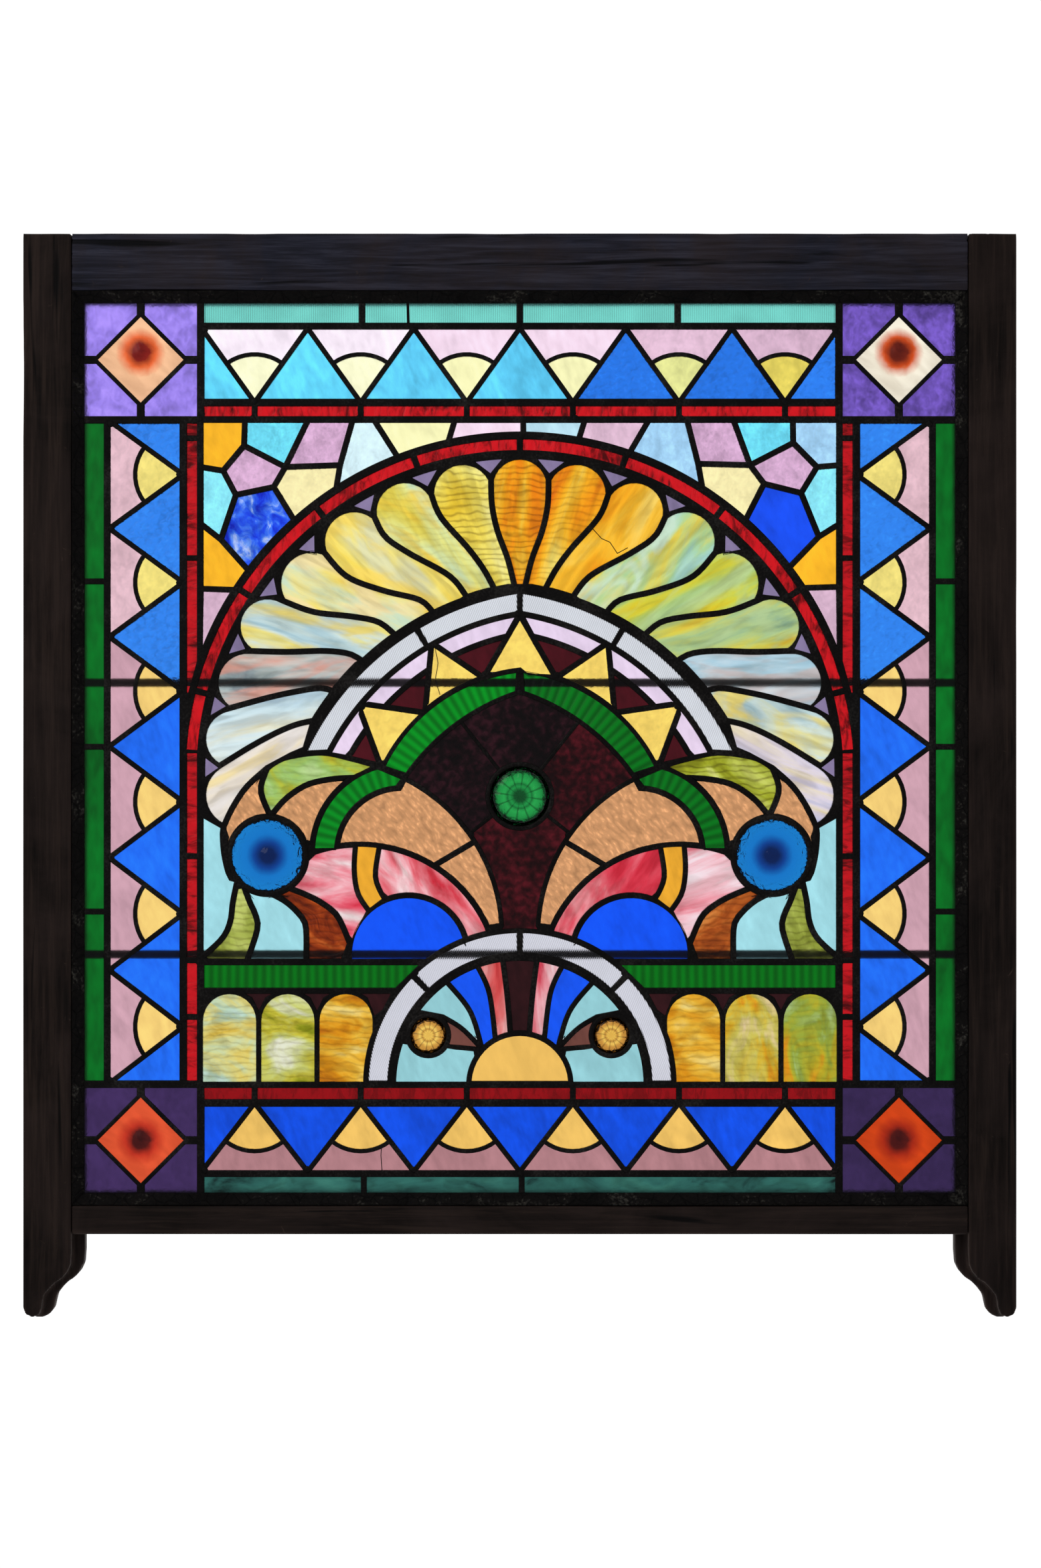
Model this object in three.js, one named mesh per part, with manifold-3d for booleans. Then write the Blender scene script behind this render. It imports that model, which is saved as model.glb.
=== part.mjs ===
// A leaded glass window sash: wooden frame with horns, putty, lead cames, glass and saddle bars.
// Millimetres, +Z up. The front (puttied) side faces -Y. The origin is the middle of the top rail's
// top face. The leaded panel is laid out in panel coordinates [x, z]: x from the centre line, z up
// from the lower sight line of the glass.
import * as THREE from "three";
import { mergeVertices } from "three/addons/utils/BufferGeometryUtils.js";
import Module from "manifold-3d";

const wasm = await Module();
wasm.setup();

// Sash
const SIGHT_HALF_W = 468.7;
const SIGHT_H = 957;
const STILE_W = 65;
const TOP_RAIL_H = 74;
const BOTTOM_RAIL_H = 44;
const SASH_T = 44;
const REBATE_W = 13;
const REBATE_DEPTH = 18;
const HORN_LEN = 91;
const HORN_NECK = 32;
const HORN_FRONT_SHORT = 2;
const JOINT_GAP = 0.3;
// Putty
const PUTTY_PROUD = 1;
// Lead and glass, from the front face of the cames to the back one
const CAME_DEPTH = 7;
const FLANGE_T = 1.8;
const HEART_W = 1.6;
const GLASS_GAP = 0.3;
const CAME_W = 6.4;
const MAIN_CAME_W = 8;
const FINE_CAME_W = 4.6;
const PANEL_EDGE = 8;
const BACK_LIP = 2.6;
// Saddle bars
const BAR_D = 9.5;
const BAR_SOCKET = 12;
const BAR_SETBACK = 1;
const UPPER_BAR_Z = 549;
const LOWER_BAR_Z = 256;
// Border lines: came centre lines, as distances from the centre line, or heights
const CENTRE_HALF_W = 343.7;
const BORDER_MARGIN = 24.7;
const BORDER_BAND_W = 82;
const RED_STRIP_W = 18.6;
const SIDE_OUTER = SIGHT_HALF_W - BORDER_MARGIN;
const SIDE_INNER = CENTRE_HALF_W + RED_STRIP_W;
const TOP_OUTER = SIGHT_H - BORDER_MARGIN;
const TOP_INNER = TOP_OUTER - BORDER_BAND_W;
const CENTRE_TOP = TOP_INNER - RED_STRIP_W;
const BOTTOM_OUTER = 20.7;
const BOTTOM_INNER = 96.5;
const CENTRE_BOTTOM = 116.5;
const WEDGES = 6;
const WEDGE_ARC_R = 51;
const DIAMOND_HALF = 48;
const DIAMOND_TIE_W = 8.5;
const DIAMOND_LAP = 2;
// Centre panel: arch, lancets, semicircle and rounds
const ARCH_Z = 451;
const RED_ARCH_FOOT = 476;
const ARCH_JOINT_DEG = 0.55;
const ARCH_OUTER_R = 364;
const RED_ARCH_W = 19.6;
const ARCH_INNER_R = ARCH_OUTER_R - RED_ARCH_W;
const WHITE_LANCET = { offset: 43.9, z: 346.7, outer: 304.5, inner: 279.9 };
const LILAC_INNER_R = 258.6;
const GREEN_LANCET = { offset: 19.8, z: 377.3, outer: 186.6 };
const GREEN_INNER = { offset: 71.8, z: 313.7, r: 235.8 };
const ZIGZAG_BOW = 6;
const GREEN_ARM = { x: -127.4, z: 365.7, outer: 96.4, inner: 69.7 };
const FIELD_ARC = { x: -206.8, z: 277.4, r: 188 };
const WEDGE_ARC_STEP = 20;
const BAND_TOP = 248.6;
const BAND_BOTTOM = 216.5;
const SPANDREL = { inset: 5.5, depth: 14 };
const SUN_Z = CENTRE_BOTTOM;
const SUN_R = 55;
const HALF_ROUND = { outer: 166, inner: 139.5 };
const JEWEL = { x: 0, z: 426.6, r: 31.8 };
const JEWEL_PROUD = 6;
const SMALL_JEWEL_PROUD = 3.6;
const JEWEL_LIP = 1.5;
const SMALL_JEWEL_LIP = 1.2;
const SMALL_JEWEL = { x: -98.5, z: 169.3, r: 19.1 };
const RONDEL = { x: -271.5, z: 363, r: 38.3 };
const RING_W = 6;
const ARC_STEP = 34;
const SHEET_STEP = 46;
const MITRE_LIMIT = 4;
const FLATNESS = 1.1;
const SHEET_FLATNESS = 0.5;
const BACK_FLATNESS = 2.2;

// Small helpers for points and outlines
const mirror = (points) => points.map(([x, z]) => [-x, z]).reverse();
const radians = THREE.MathUtils.degToRad;
const degrees = THREE.MathUtils.radToDeg;
const polar = (cx, cz, r, deg) => {
  const a = radians(deg);
  return [cx + r * Math.cos(a), cz + r * Math.sin(a)];
};

function arc(cx, cz, r, fromDeg, toDeg, step = ARC_STEP) {
  const length = (Math.abs(toDeg - fromDeg) * Math.PI * r) / 180;
  const n = Math.max(1, Math.round(length / step));
  return Array.from({ length: n + 1 }, (_, i) => polar(cx, cz, r, fromDeg + ((toDeg - fromDeg) * i) / n));
}

// The arc of a circle between two points that lie on it, or near it
function arcBetween(c, a, b, step = ARC_STEP) {
  const r = Math.hypot(a[0] - c.x, a[1] - c.z);
  const angle = (p) => degrees(Math.atan2(p[1] - c.z, p[0] - c.x));
  const from = angle(a);
  let sweep = angle(b) - from;
  sweep -= 360 * Math.round(sweep / 360);
  const points = arc(c.x, c.z, r, from, from + sweep, step);
  points[points.length - 1] = b;
  return points;
}

// The arc through three points
function arcThrough(a, m, b, step = ARC_STEP) {
  const [ax, az] = a;
  const [bx, bz] = m;
  const [cx, cz] = b;
  const d = 2 * (ax * (bz - cz) + bx * (cz - az) + cx * (az - bz));
  const a2 = ax * ax + az * az;
  const b2 = bx * bx + bz * bz;
  const c2 = cx * cx + cz * cz;
  const c = {
    x: (a2 * (bz - cz) + b2 * (cz - az) + c2 * (az - bz)) / d,
    z: (a2 * (cx - bx) + b2 * (ax - cx) + c2 * (bx - ax)) / d,
  };
  const angle = ([x, z]) => degrees(Math.atan2(z - c.z, x - c.x));
  const turn = (p, q) => {
    const sweepDeg = angle(q) - angle(p);
    return sweepDeg - 360 * Math.round(sweepDeg / 360);
  };
  const r = Math.hypot(ax - c.x, az - c.z);
  return arc(c.x, c.z, r, angle(a), angle(a) + turn(a, m) + turn(m, b), step);
}

// A smooth came line through a few points
function sweep(points, n = 6) {
  const line = new THREE.SplineCurve(points.map(([x, z]) => new THREE.Vector2(x, z)));
  return line.getSpacedPoints(n).map((p) => [p.x, p.y]);
}

function area(points) {
  return points.reduce((sum, [x, z], i) => {
    const [u, v] = points[(i + 1) % points.length];
    return sum + x * v - u * z;
  }, 0) / 2;
}

const counterClockwise = (points) => (area(points) < 0 ? [...points].reverse() : points);

// Drops the points that stand less than the tolerance off the line between their neighbours
function flatten(points, tolerance = FLATNESS) {
  const kept = [...points];
  const rise = (i) => {
    const [a, b, c] = [kept.at(i - 1), kept[i], kept[(i + 1) % kept.length]];
    return Math.abs(area([a, b, c]) * 2) / Math.max(1e-6, Math.hypot(c[0] - a[0], c[1] - a[1]));
  };
  while (kept.length > 3) {
    const rises = kept.map((_, i) => rise(i));
    const least = rises.indexOf(Math.min(...rises));
    if (rises[least] > tolerance) break;
    kept.splice(least, 1);
  }
  return kept;
}

// The outline of a pane that shows: its came centre lines, moved in by half a came
function inset(outline, distance) {
  const points = counterClockwise(outline).filter(([x, z], i, all) => {
    const [u, v] = all[(i + all.length - 1) % all.length];
    return Math.hypot(x - u, z - v) > 0.4;
  });
  const n = points.length;
  const edges = points.map(([x, z], i) => {
    const [u, v] = points[(i + 1) % n];
    const l = Math.hypot(u - x, v - z);
    const dx = (u - x) / l;
    const dz = (v - z) / l;
    return { x: x - dz * distance, z: z + dx * distance, dx, dz };
  });
  return edges.map((e, i) => {
    const p = edges[(i + n - 1) % n];
    const cross = p.dx * e.dz - p.dz * e.dx;
    if (Math.abs(cross) < 0.02) return [e.x, e.z];
    const t = ((e.x - p.x) * e.dz - (e.z - p.z) * e.dx) / cross;
    const [x, z] = points[i];
    const mitre = [p.x + p.dx * t - x, p.z + p.dz * t - z];
    const share = Math.min(1, (MITRE_LIMIT * Math.abs(distance)) / Math.hypot(...mitre));
    return [x + mitre[0] * share, z + mitre[1] * share];
  });
}

const rect = (x0, z0, x1, z1) => [[x0, z0], [x1, z0], [x1, z1], [x0, z1]];
const circle = ({ x, z, r }, step = 9) => arc(x, z, r, 0, 360, step).slice(0, -1);
// A many-sided hole that a round of this radius passes through
const roundHole = ({ x, z }, r, sides = 16) => Array.from({ length: sides }, (_, i) =>
  polar(x, z, r / Math.cos(Math.PI / sides), (360 * (i + 0.5)) / sides));

// Panes: every outline that shows, as a hole in the front flanges of the cames
const panes = [];
const addPane = (outline, came = CAME_W) => panes.push(flatten(inset(outline, came / 2)));
const addPair = (outline, came) => {
  addPane(outline, came);
  panes.push(mirror(panes.at(-1)));
};

const diamondAt = ([x, z], r) => [[x + r, z], [x, z + r], [x - r, z], [x, z - r]];

// Corner lights: four purple pieces round a square pane on its point
const corners = [];
for (const side of [-1, 1]) {
  for (const [z0, z1] of [[0, CENTRE_BOTTOM], [CENTRE_TOP, SIGHT_H]]) {
    const xIn = CENTRE_HALF_W + MAIN_CAME_W / 2;
    const zIn = z0 === 0 ? z1 - MAIN_CAME_W / 2 : z0 + MAIN_CAME_W / 2;
    const zOut = z0 === 0 ? 0 : SIGHT_H;
    const c = [(side * (xIn + SIGHT_HALF_W)) / 2, (zIn + zOut) / 2];
    corners.push({ side, c, zOut });
    panes.push(diamondAt(c, DIAMOND_HALF - DIAMOND_LAP));
    const tie = DIAMOND_TIE_W / 2;
    for (const cornerX of [side * xIn, side * SIGHT_HALF_W]) {
      for (const cornerZ of [zIn, zOut]) {
        const sx = Math.sign(cornerX - c[0]);
        const sz = Math.sign(cornerZ - c[1]);
        const reach = DIAMOND_HALF + CAME_W * 0.7;
        panes.push(counterClockwise([
          [c[0] + sx * tie, cornerZ],
          [cornerX, cornerZ],
          [cornerX, c[1] + sz * tie],
          [c[0] + sx * (reach - tie), c[1] + sz * tie],
          [c[0] + sx * tie, c[1] + sz * (reach - tie)],
        ]));
      }
    }
  }
}

// A run of strips between two heights or two sides, parted at the given places
function addRun(ends, joints, place) {
  const cuts = [ends[0], ...joints, ends[1]];
  for (let i = 0; i + 1 < cuts.length; i += 1) {
    const a = cuts[i] + (i === 0 ? 0 : CAME_W / 2);
    const b = cuts[i + 1] - (i + 2 === cuts.length ? 0 : CAME_W / 2);
    panes.push(place(a, b));
  }
}
const half = MAIN_CAME_W / 2;
const sideJoints = [0.26, 0.508, 0.757].map((t) => CENTRE_BOTTOM + t * (CENTRE_TOP - CENTRE_BOTTOM));
const acrossEnds = [-CENTRE_HALF_W + half, CENTRE_HALF_W - half];
addRun(acrossEnds, [-170, 0, 170], (a, b) => rect(a, TOP_OUTER + half, b, SIGHT_H));
addRun(acrossEnds, [-168, 2], (a, b) => rect(a, 0, b, BOTTOM_OUTER - half));
for (const side of [-1, 1]) {
  addRun([CENTRE_BOTTOM + half, CENTRE_TOP - half], sideJoints, (a, b) =>
    counterClockwise(rect(side * (SIDE_OUTER + half), a, side * SIGHT_HALF_W, b)));
}

// A border band: a zigzag of cames between an outer and an inner line, with a wedge at each inner
// point. "along" turns the distance along the band and the depth from its outer line into a point.
function addWedgeBand(length, depth, along) {
  const step = length / (2 * WEDGES);
  const reach = Math.hypot(step, depth);
  for (let i = 0; i < WEDGES; i += 1) {
    const tip = (2 * i + 1) * step;
    const dx = (WEDGE_ARC_R * step) / reach;
    const dz = (WEDGE_ARC_R * depth) / reach;
    const left = [tip - dx, depth - dz];
    const right = [tip + dx, depth - dz];
    const top = [tip, depth - WEDGE_ARC_R];
    const curve = arcThrough(left, top, right, WEDGE_ARC_STEP);
    const cap = [[2 * i * step, 0], ...curve, [2 * (i + 1) * step, 0]];
    addPane([[tip, depth], ...curve].map(([s, d]) => along(s, d)), FINE_CAME_W);
    addPane(cap.map(([s, d]) => along(s, d)), FINE_CAME_W);
  }
  for (let i = 0; i <= WEDGES; i += 1) {
    const apex = 2 * i * step;
    const a = Math.max(0, apex - step);
    const b = Math.min(length, apex + step);
    addPane([along(apex, 0), along(b, depth), along(a, depth)]);
  }
}
const across = 2 * (CENTRE_HALF_W - 1);
const upright = CENTRE_TOP - CENTRE_BOTTOM - 2;
const x0 = -CENTRE_HALF_W + 1;
const z0 = CENTRE_BOTTOM + 1;
addWedgeBand(across, TOP_OUTER - TOP_INNER - 2, (s, d) => [x0 + s, TOP_OUTER - 1 - d]);
addWedgeBand(across, BOTTOM_INNER - BOTTOM_OUTER - 2, (s, d) => [x0 + s, BOTTOM_OUTER + 1 + d]);
for (const side of [-1, 1]) {
  const bow = (s) => ZIGZAG_BOW * Math.sin((Math.PI * s) / upright);
  addWedgeBand(upright, SIDE_OUTER - SIDE_INNER - 2, (s, d) =>
    [side * (SIDE_OUTER - 1 - d), z0 + s + bow(s)]);
}

// Red strips: across the top and bottom, up the sides, and over the arch
const redJoints = Array.from({ length: WEDGES }, (_, i) => x0 + ((2 * i + 1) * across) / (2 * WEDGES));
addRun(acrossEnds, redJoints, (a, b) => rect(a, CENTRE_TOP + half, b, TOP_INNER - half));
addRun(acrossEnds, redJoints, (a, b) => rect(a, BOTTOM_INNER + half, b, CENTRE_BOTTOM - half));
const redOut = SIDE_INNER - half;
const redIn = CENTRE_HALF_W + half;
const upperRed = [812, 683];
for (const side of [-1, 1]) {
  addRun([CENTRE_BOTTOM + half, RED_ARCH_FOOT - CAME_W / 2], [189, 250, 362], (a, b) =>
    counterClockwise(rect(side * redIn, a, side * redOut, b)));
  panes.push(counterClockwise(rect(side * redIn, upperRed[0] + 3, side * redOut, CENTRE_TOP - half)));
  panes.push(counterClockwise(rect(side * redIn, upperRed[1] + 3, side * redOut, upperRed[0] - 3)));
  panes.push(counterClockwise([[side * redIn, upperRed[1] - 3], [side * redIn, 572],
    [side * redOut, 534], [side * redOut, upperRed[1] - 3]]));
}
const archFootDeg = degrees(Math.asin((RED_ARCH_FOOT - ARCH_Z) / ARCH_INNER_R));
const archJoints = [archFootDeg, 14.3, 33.3, 52.6, 71.5, 90, 108.5, 127.4, 146.7, 165.7, 180 - archFootDeg];
for (let i = 0; i + 1 < archJoints.length; i += 1) {
  const a = archJoints[i] + (i === 0 ? 0 : ARCH_JOINT_DEG);
  const b = archJoints[i + 1] - (i + 2 === archJoints.length ? 0 : ARCH_JOINT_DEG);
  panes.push(counterClockwise([
    ...arc(0, ARCH_Z, ARCH_OUTER_R - 4.3, a, b, 18),
    ...arc(0, ARCH_Z, ARCH_INNER_R + 3.9, b, a, 18),
  ]));
}

// Spandrel mosaics. On the arch, a point is given by its angle from the top of the arch.
const alongArch = (fromDeg, toDeg) => arc(0, ARCH_Z, ARCH_OUTER_R + 1, 90 + fromDeg, 90 + toDeg, 22);
const T = CENTRE_TOP;
const W = -CENTRE_HALF_W;
const L = {
  topA: [-296, T], topB: [-228, T], topC: [-180, T], topD: [-157, T], topE: [-70, T], topF: [3.6, T],
  amber: [-297, 804], mauve: [-319.5, 777], edgeA: [W, 781], mid: [-252.6, 781], pale: [-193.6, 783],
  cobaltTop: [-305.8, 751], cream: [-265, 759.5], low: [-322, 703], edgeB: [W, 720], edgeC: [W, 650],
};
const leftMosaic = [
  [[W, T], L.topA, L.amber, L.mauve, L.edgeA],
  [L.topA, L.topB, L.mid, L.amber],
  [L.amber, L.mid, L.cream, L.cobaltTop, L.mauve],
  [L.edgeA, L.mauve, L.cobaltTop, L.low, L.edgeB],
  [L.cobaltTop, L.cream, ...alongArch(41.7, 53.2), L.low],
  [L.mid, L.pale, ...alongArch(32.8, 41.7), L.cream],
  [L.topB, L.topC, L.pale, L.mid],
  [L.topC, L.topD, ...alongArch(21.1, 32.8), L.pale],
  [L.topD, L.topE, ...alongArch(12.2, 21.1)],
  [L.topE, L.topF, ...alongArch(-0.6, 12.2)],
  [L.edgeB, L.low, ...alongArch(53.2, 57.2), L.edgeC],
  [L.edgeC, ...alongArch(57.2, 70.3)],
];
leftMosaic.forEach((outline) => addPane(outline));
const E = CENTRE_HALF_W;
const R = {
  topA: [70, T], topB: [139, T], topC: [180, T], topD: [230, T], topE: [294, T],
  pale: [192, 784.5], mid: [248, 783], corner: [294.4, 807], cream: [263, 763], edgeTop: [320, 781],
  edgeA: [E, 783], cobaltTop: [303, 753], low: [322, 706], edgeB: [E, 719.5], edgeC: [E, 652],
};
const rightMosaic = [
  [L.topF, R.topA, ...alongArch(-10, -0.6)],
  [R.topA, R.topB, ...alongArch(-18.9, -10)],
  [R.topB, R.topC, R.pale, ...alongArch(-32.6, -18.9)],
  [R.topC, R.topD, R.mid, R.pale],
  [R.topD, R.topE, R.corner, R.mid],
  [R.topE, [E, T], R.edgeA, R.edgeTop, R.corner],
  [R.pale, R.mid, R.cream, ...alongArch(-41.7, -32.6)],
  [R.mid, R.corner, R.edgeTop, R.cobaltTop, R.cream],
  [R.edgeTop, R.edgeA, R.edgeB, R.low, R.cobaltTop],
  [R.cream, R.cobaltTop, R.low, ...alongArch(-52.6, -41.7)],
  [R.edgeB, R.edgeC, ...alongArch(-56.8, -52.6), R.low],
  [R.edgeC, ...alongArch(-70.3, -56.8)],
];
rightMosaic.forEach((outline) => addPane(outline));

// The pointed arches: a point on the left side of a lancet, by its angle at the lancet's centre
const onLancet = (lancet, r, deg) => polar(lancet.offset, lancet.z, r, deg);
const lancetArc = (lancet, r, a, b, step) => arc(lancet.offset, lancet.z, r, a, b, step);
const lancetTop = (lancet, r) => degrees(Math.acos(-lancet.offset / r));
const whiteFoot = 154.6;
const whiteInnerFoot = 152.6;

// Petals: the cames between them, from the arch to the white lancet, left of the centre line
const petalCames = [
  [[-31, 768], [-30, 740], [-24, 712], [-13, 682], [-5.5, 652]],
  [[-95.5, 752], [-85, 727], [-56, 694], [-39, 671], [-27, 649]],
  [[-157, 728], [-145, 706], [-119, 688], [-76, 664], [-57, 641]],
  [[-211, 689.5], [-186, 663], [-147, 648], [-108, 638], [-93, 624]],
  [[-255, 637], [-222, 625], [-180, 620], [-152, 614], [-134, 600]],
  [[-290, 583], [-252, 582], [-210, 583], [-184, 580], [-169, 572]],
  [[-314, 521], [-270, 533], [-237, 540], [-215, 543], [-201, 540]],
  [[-324, 459], [-290, 480], [-262, 495], [-240, 504], [-222, 508]],
].map((points) => sweep(points, 5));
const petalCaps = [[0, 792], [-66, 786], [-128, 766.5], [-184, 735], [-238, 689], [-298, 628],
  [-325, 562], [-340.5, 494]];
const centrePetal = [
  ...arcThrough(mirror([petalCames[0][0]])[0], petalCaps[0], petalCames[0][0]),
  ...petalCames[0].slice(1),
  ...mirror(petalCames[0].slice(1)),
];
addPane(centrePetal);
const whiteLine = (a, b) => arcBetween({ x: WHITE_LANCET.offset, z: WHITE_LANCET.z }, a, b, 20);
for (let i = 1; i < petalCames.length; i += 1) {
  const inner = petalCames[i - 1];
  const outer = petalCames[i];
  addPair([
    ...arcThrough(inner[0], petalCaps[i], outer[0]),
    ...outer.slice(1),
    ...whiteLine(outer.at(-1), inner.at(-1)).slice(1, -1),
    ...[...inner].reverse().slice(0, -1),
  ]);
}
// The lowest petal, bounded below by the came over the salmon glass
const lastCame = petalCames.at(-1);
const whiteEnd = onLancet(WHITE_LANCET, WHITE_LANCET.outer, whiteFoot);
const leafStart = [-272, 457];
const lastPetalFloor = sweep([[-319, 394], [-309, 415], [-294, 437], leafStart], 5);
const leafTop = sweep([leafStart, [-253, 468], [-214, 473.5], [-181, 467], [-152, 459]], 6);
addPair([
  ...arcThrough(lastCame[0], [-341, 429], [-319, 394]),
  ...lastPetalFloor.slice(1),
  [-246, 471],
  whiteEnd,
  ...[...lastCame].reverse().slice(0, -1),
]);
// Small spandrels between the petals' caps and the arch
const spandrelAngles = [[3.3, 8.1, 5.6], [15.3, 20, 17.8], [27.6, 31.8, 29.7], [40.8, 44.6, 42.9],
  [51.5, 55.8, 53.6], [63.6, 67.6, 65.6], [75.9, 79.3, 77.1], [87.2, 90.6, 88.9]];
spandrelAngles.forEach(([a, b, tip]) => {
  const r = ARCH_INNER_R - SPANDREL.inset;
  const outline = [polar(0, ARCH_Z, r, 90 + a), polar(0, ARCH_Z, r, 90 + b),
    polar(0, ARCH_Z, r - SPANDREL.depth, 90 + tip)];
  panes.push(counterClockwise(outline), counterClockwise(mirror(outline)));
});

// White lancet: two pieces a side
const whiteSplit = 120.8;
const whiteGlass = { outer: WHITE_LANCET.outer - CAME_W / 2, inner: WHITE_LANCET.inner + CAME_W / 2 };
const whiteGap = 0.6;
const whiteTops = [whiteGlass.outer, whiteGlass.inner].map((r) => lancetTop(WHITE_LANCET, r) + whiteGap);
const beforeSplit = whiteSplit - whiteGap;
const afterSplit = whiteSplit + whiteGap;
for (const [a, b] of [[whiteTops, [beforeSplit, beforeSplit]],
  [[afterSplit, afterSplit], [whiteFoot, whiteInnerFoot]]]) {
  const outline = flatten([
    ...lancetArc(WHITE_LANCET, whiteGlass.outer, a[0], b[0]),
    ...lancetArc(WHITE_LANCET, whiteGlass.inner, b[1], a[1]),
  ]);
  panes.push(counterClockwise(outline), counterClockwise(mirror(outline)));
}

// Five star points on the green lancet, lilac pieces outside them and maroon between
const starTip = [0, 622];
const starFoot = [-39, 554];
const starTip2 = [-95, 592];
const starFoot2 = [-102, 516.5];
const starTip3 = [-175, 527];
const starFoot3 = [-150, 459.4];
const greenLine = (a, b) => arcBetween({ x: GREEN_LANCET.offset, z: GREEN_LANCET.z }, a, b, 16);
addPane([starTip, ...greenLine(mirror([starFoot])[0], [0, 562]).slice(0, -1), [0, 562],
  ...greenLine([0, 562], starFoot).slice(1)]);
addPair([starTip2, ...greenLine(starFoot, starFoot2)]);
addPair([starTip3, ...greenLine(starFoot2, starFoot3)]);
const lilacArc = (a, b) => lancetArc(WHITE_LANCET, LILAC_INNER_R, a, b);
const whiteInner = (a, b) => lancetArc(WHITE_LANCET, WHITE_LANCET.inner, a, b);
const leafFoot = [-187, 468];
addPair([...whiteInner(99, 119.4).slice(0, -1), starTip2, ...lilacArc(117, 102.8)]);
addPair([...whiteInner(119.4, 140.4).slice(1, -1), starTip3, ...lilacArc(137.1, 123.2), starTip2]);
addPair([starTip3, ...whiteInner(140.4, 153.5).slice(1), leafFoot, ...lilacArc(150.5, 143.8)]);
addPair([...lilacArc(102.8, 117), starFoot]);
addPair([...lilacArc(123.2, 137.1), starFoot2]);
addPair([...lilacArc(143.8, 150.5), leafFoot, starFoot3]);

// Green lancet and its lower arms
const greenTop = lancetTop(GREEN_LANCET, GREEN_LANCET.outer);
const greenFoot = 153.5;
const greenInnerTop = lancetTop(GREEN_INNER, GREEN_INNER.r);
const greenUpper = [
  ...lancetArc(GREEN_LANCET, GREEN_LANCET.outer - CAME_W / 2, greenTop + 1.4, greenFoot),
  ...lancetArc(GREEN_INNER, GREEN_INNER.r + CAME_W / 2, 144.6, greenInnerTop + 1.1),
];
const greenLower = [
  ...arc(GREEN_ARM.x, GREEN_ARM.z, GREEN_ARM.outer - CAME_W / 2, 106, 177),
  ...arc(GREEN_ARM.x, GREEN_ARM.z, GREEN_ARM.inner + CAME_W / 2, 176, 95),
  [-128.6, 445],
];
for (const outline of [greenUpper, greenLower]) {
  panes.push(counterClockwise(outline), counterClockwise(mirror(outline)));
}

// Dark field round the jewel
const fieldArm = { x: FIELD_ARC.x, z: FIELD_ARC.z };
const onField = (deg) => polar(FIELD_ARC.x, FIELD_ARC.z, FIELD_ARC.r, deg);
const fieldShoulder = [-124, 446];
const fieldWaist = onField(35.5);
const salmonSplit = onField(32.4);
const fieldFoot = onField(3);
const fieldTop = [0, 538.3];
const greenInner = (a, b) => arcBetween({ x: GREEN_INNER.offset, z: GREEN_INNER.z }, a, b);
const tieTop = onLancet(GREEN_INNER, GREEN_INNER.r, 125);
const whiteHalf = (a, b) => arc(0, SUN_Z, HALF_ROUND.outer, a, b);
const jewelRing = JEWEL.r + RING_W / 2;
const ringArc = (a, b) => arc(JEWEL.x, JEWEL.z, jewelRing, a, b, 11);
addPane([fieldTop, ...greenInner(fieldTop, tieTop).slice(1), ...ringArc(128, 52),
  ...mirror(greenInner(fieldTop, tieTop).slice(1))], 4);
addPair([tieTop, ...greenInner(tieTop, fieldShoulder).slice(1),
  ...arcBetween(fieldArm, fieldShoulder, fieldWaist).slice(1), ...ringArc(215, 128)], 4);
addPane([...arcBetween(fieldArm, fieldWaist, fieldFoot), ...whiteHalf(97.8, 82.2),
  ...mirror(arcBetween(fieldArm, fieldWaist, fieldFoot)), ...ringArc(-35, -145)], 4);
panes.push(circle(JEWEL, 14));

// Left motif, mirrored to the right
const rondelRing = { x: RONDEL.x, z: RONDEL.z, r: RONDEL.r + RING_W / 2 + 0.6 };
const onRondel = (deg) => polar(rondelRing.x, rondelRing.z, rondelRing.r, deg);
const roundRondel = (a, b) => arc(rondelRing.x, rondelRing.z, rondelRing.r, a, b, 11);
const leafSide = sweep([leafStart, [-279, 433], onRondel(86)], 3);
const leafFloor = sweep([onRondel(86), [-252, 424], [-229, 439], [-203, 445], [-178, 446.5]], 5);
const armOuter = (a, b) => arc(GREEN_ARM.x, GREEN_ARM.z, GREEN_ARM.outer, a, b);
const armInner = (a, b) => arc(GREEN_ARM.x, GREEN_ARM.z, GREEN_ARM.inner, a, b);
const motifArc = { x: -172.6, z: 223.6, r: 151 };
const onMotif = (deg) => polar(motifArc.x, motifArc.z, motifArc.r, deg);
const motifLine = (a, b) => arc(motifArc.x, motifArc.z, motifArc.r, a, b);
const dome = { x: -120, z: 256, r: 64 };
const domeLine = (a, b) => arc(dome.x, dome.z, dome.r, a, b);
const pinkSide = sweep([onMotif(91.5), [-178, 347], [-174, 322], [-162, 303]], 4);
const goldSide = sweep([onMotif(82), [-156, 343], [-152, 327], [-145.5, 315.5]], 4);
const brownTop = sweep([onRondel(-57), [-229, 320], [-212, 311], [-196, 297], [-183, 268]], 5);
const brownSide = sweep([onRondel(-84), [-252, 313], [-238, 300], [-230.5, 286], [-230, BAND_TOP]], 5);
const leafletRight = sweep([onRondel(-128), [-291, 313], [-284, 297], [-283, 282], [-294, BAND_TOP]], 5);
const leafletLeft = sweep([onRondel(-141), [-309, 313], [-312, 291], [-321, 273], [W, 252]], 5);
const aquaSide = sweep([[-319, 394], [-320, 384], [-318, 362], [-312, 340], onRondel(-141)], 5);
addPair([...leafSide, ...leafFloor.slice(1), ...[...leafTop].reverse().slice(0, -1)]);
addPair([...roundRondel(168, 86), ...[...leafSide].reverse().slice(1),
  ...[...lastPetalFloor].reverse().slice(1), [-319, 390]]);
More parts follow.
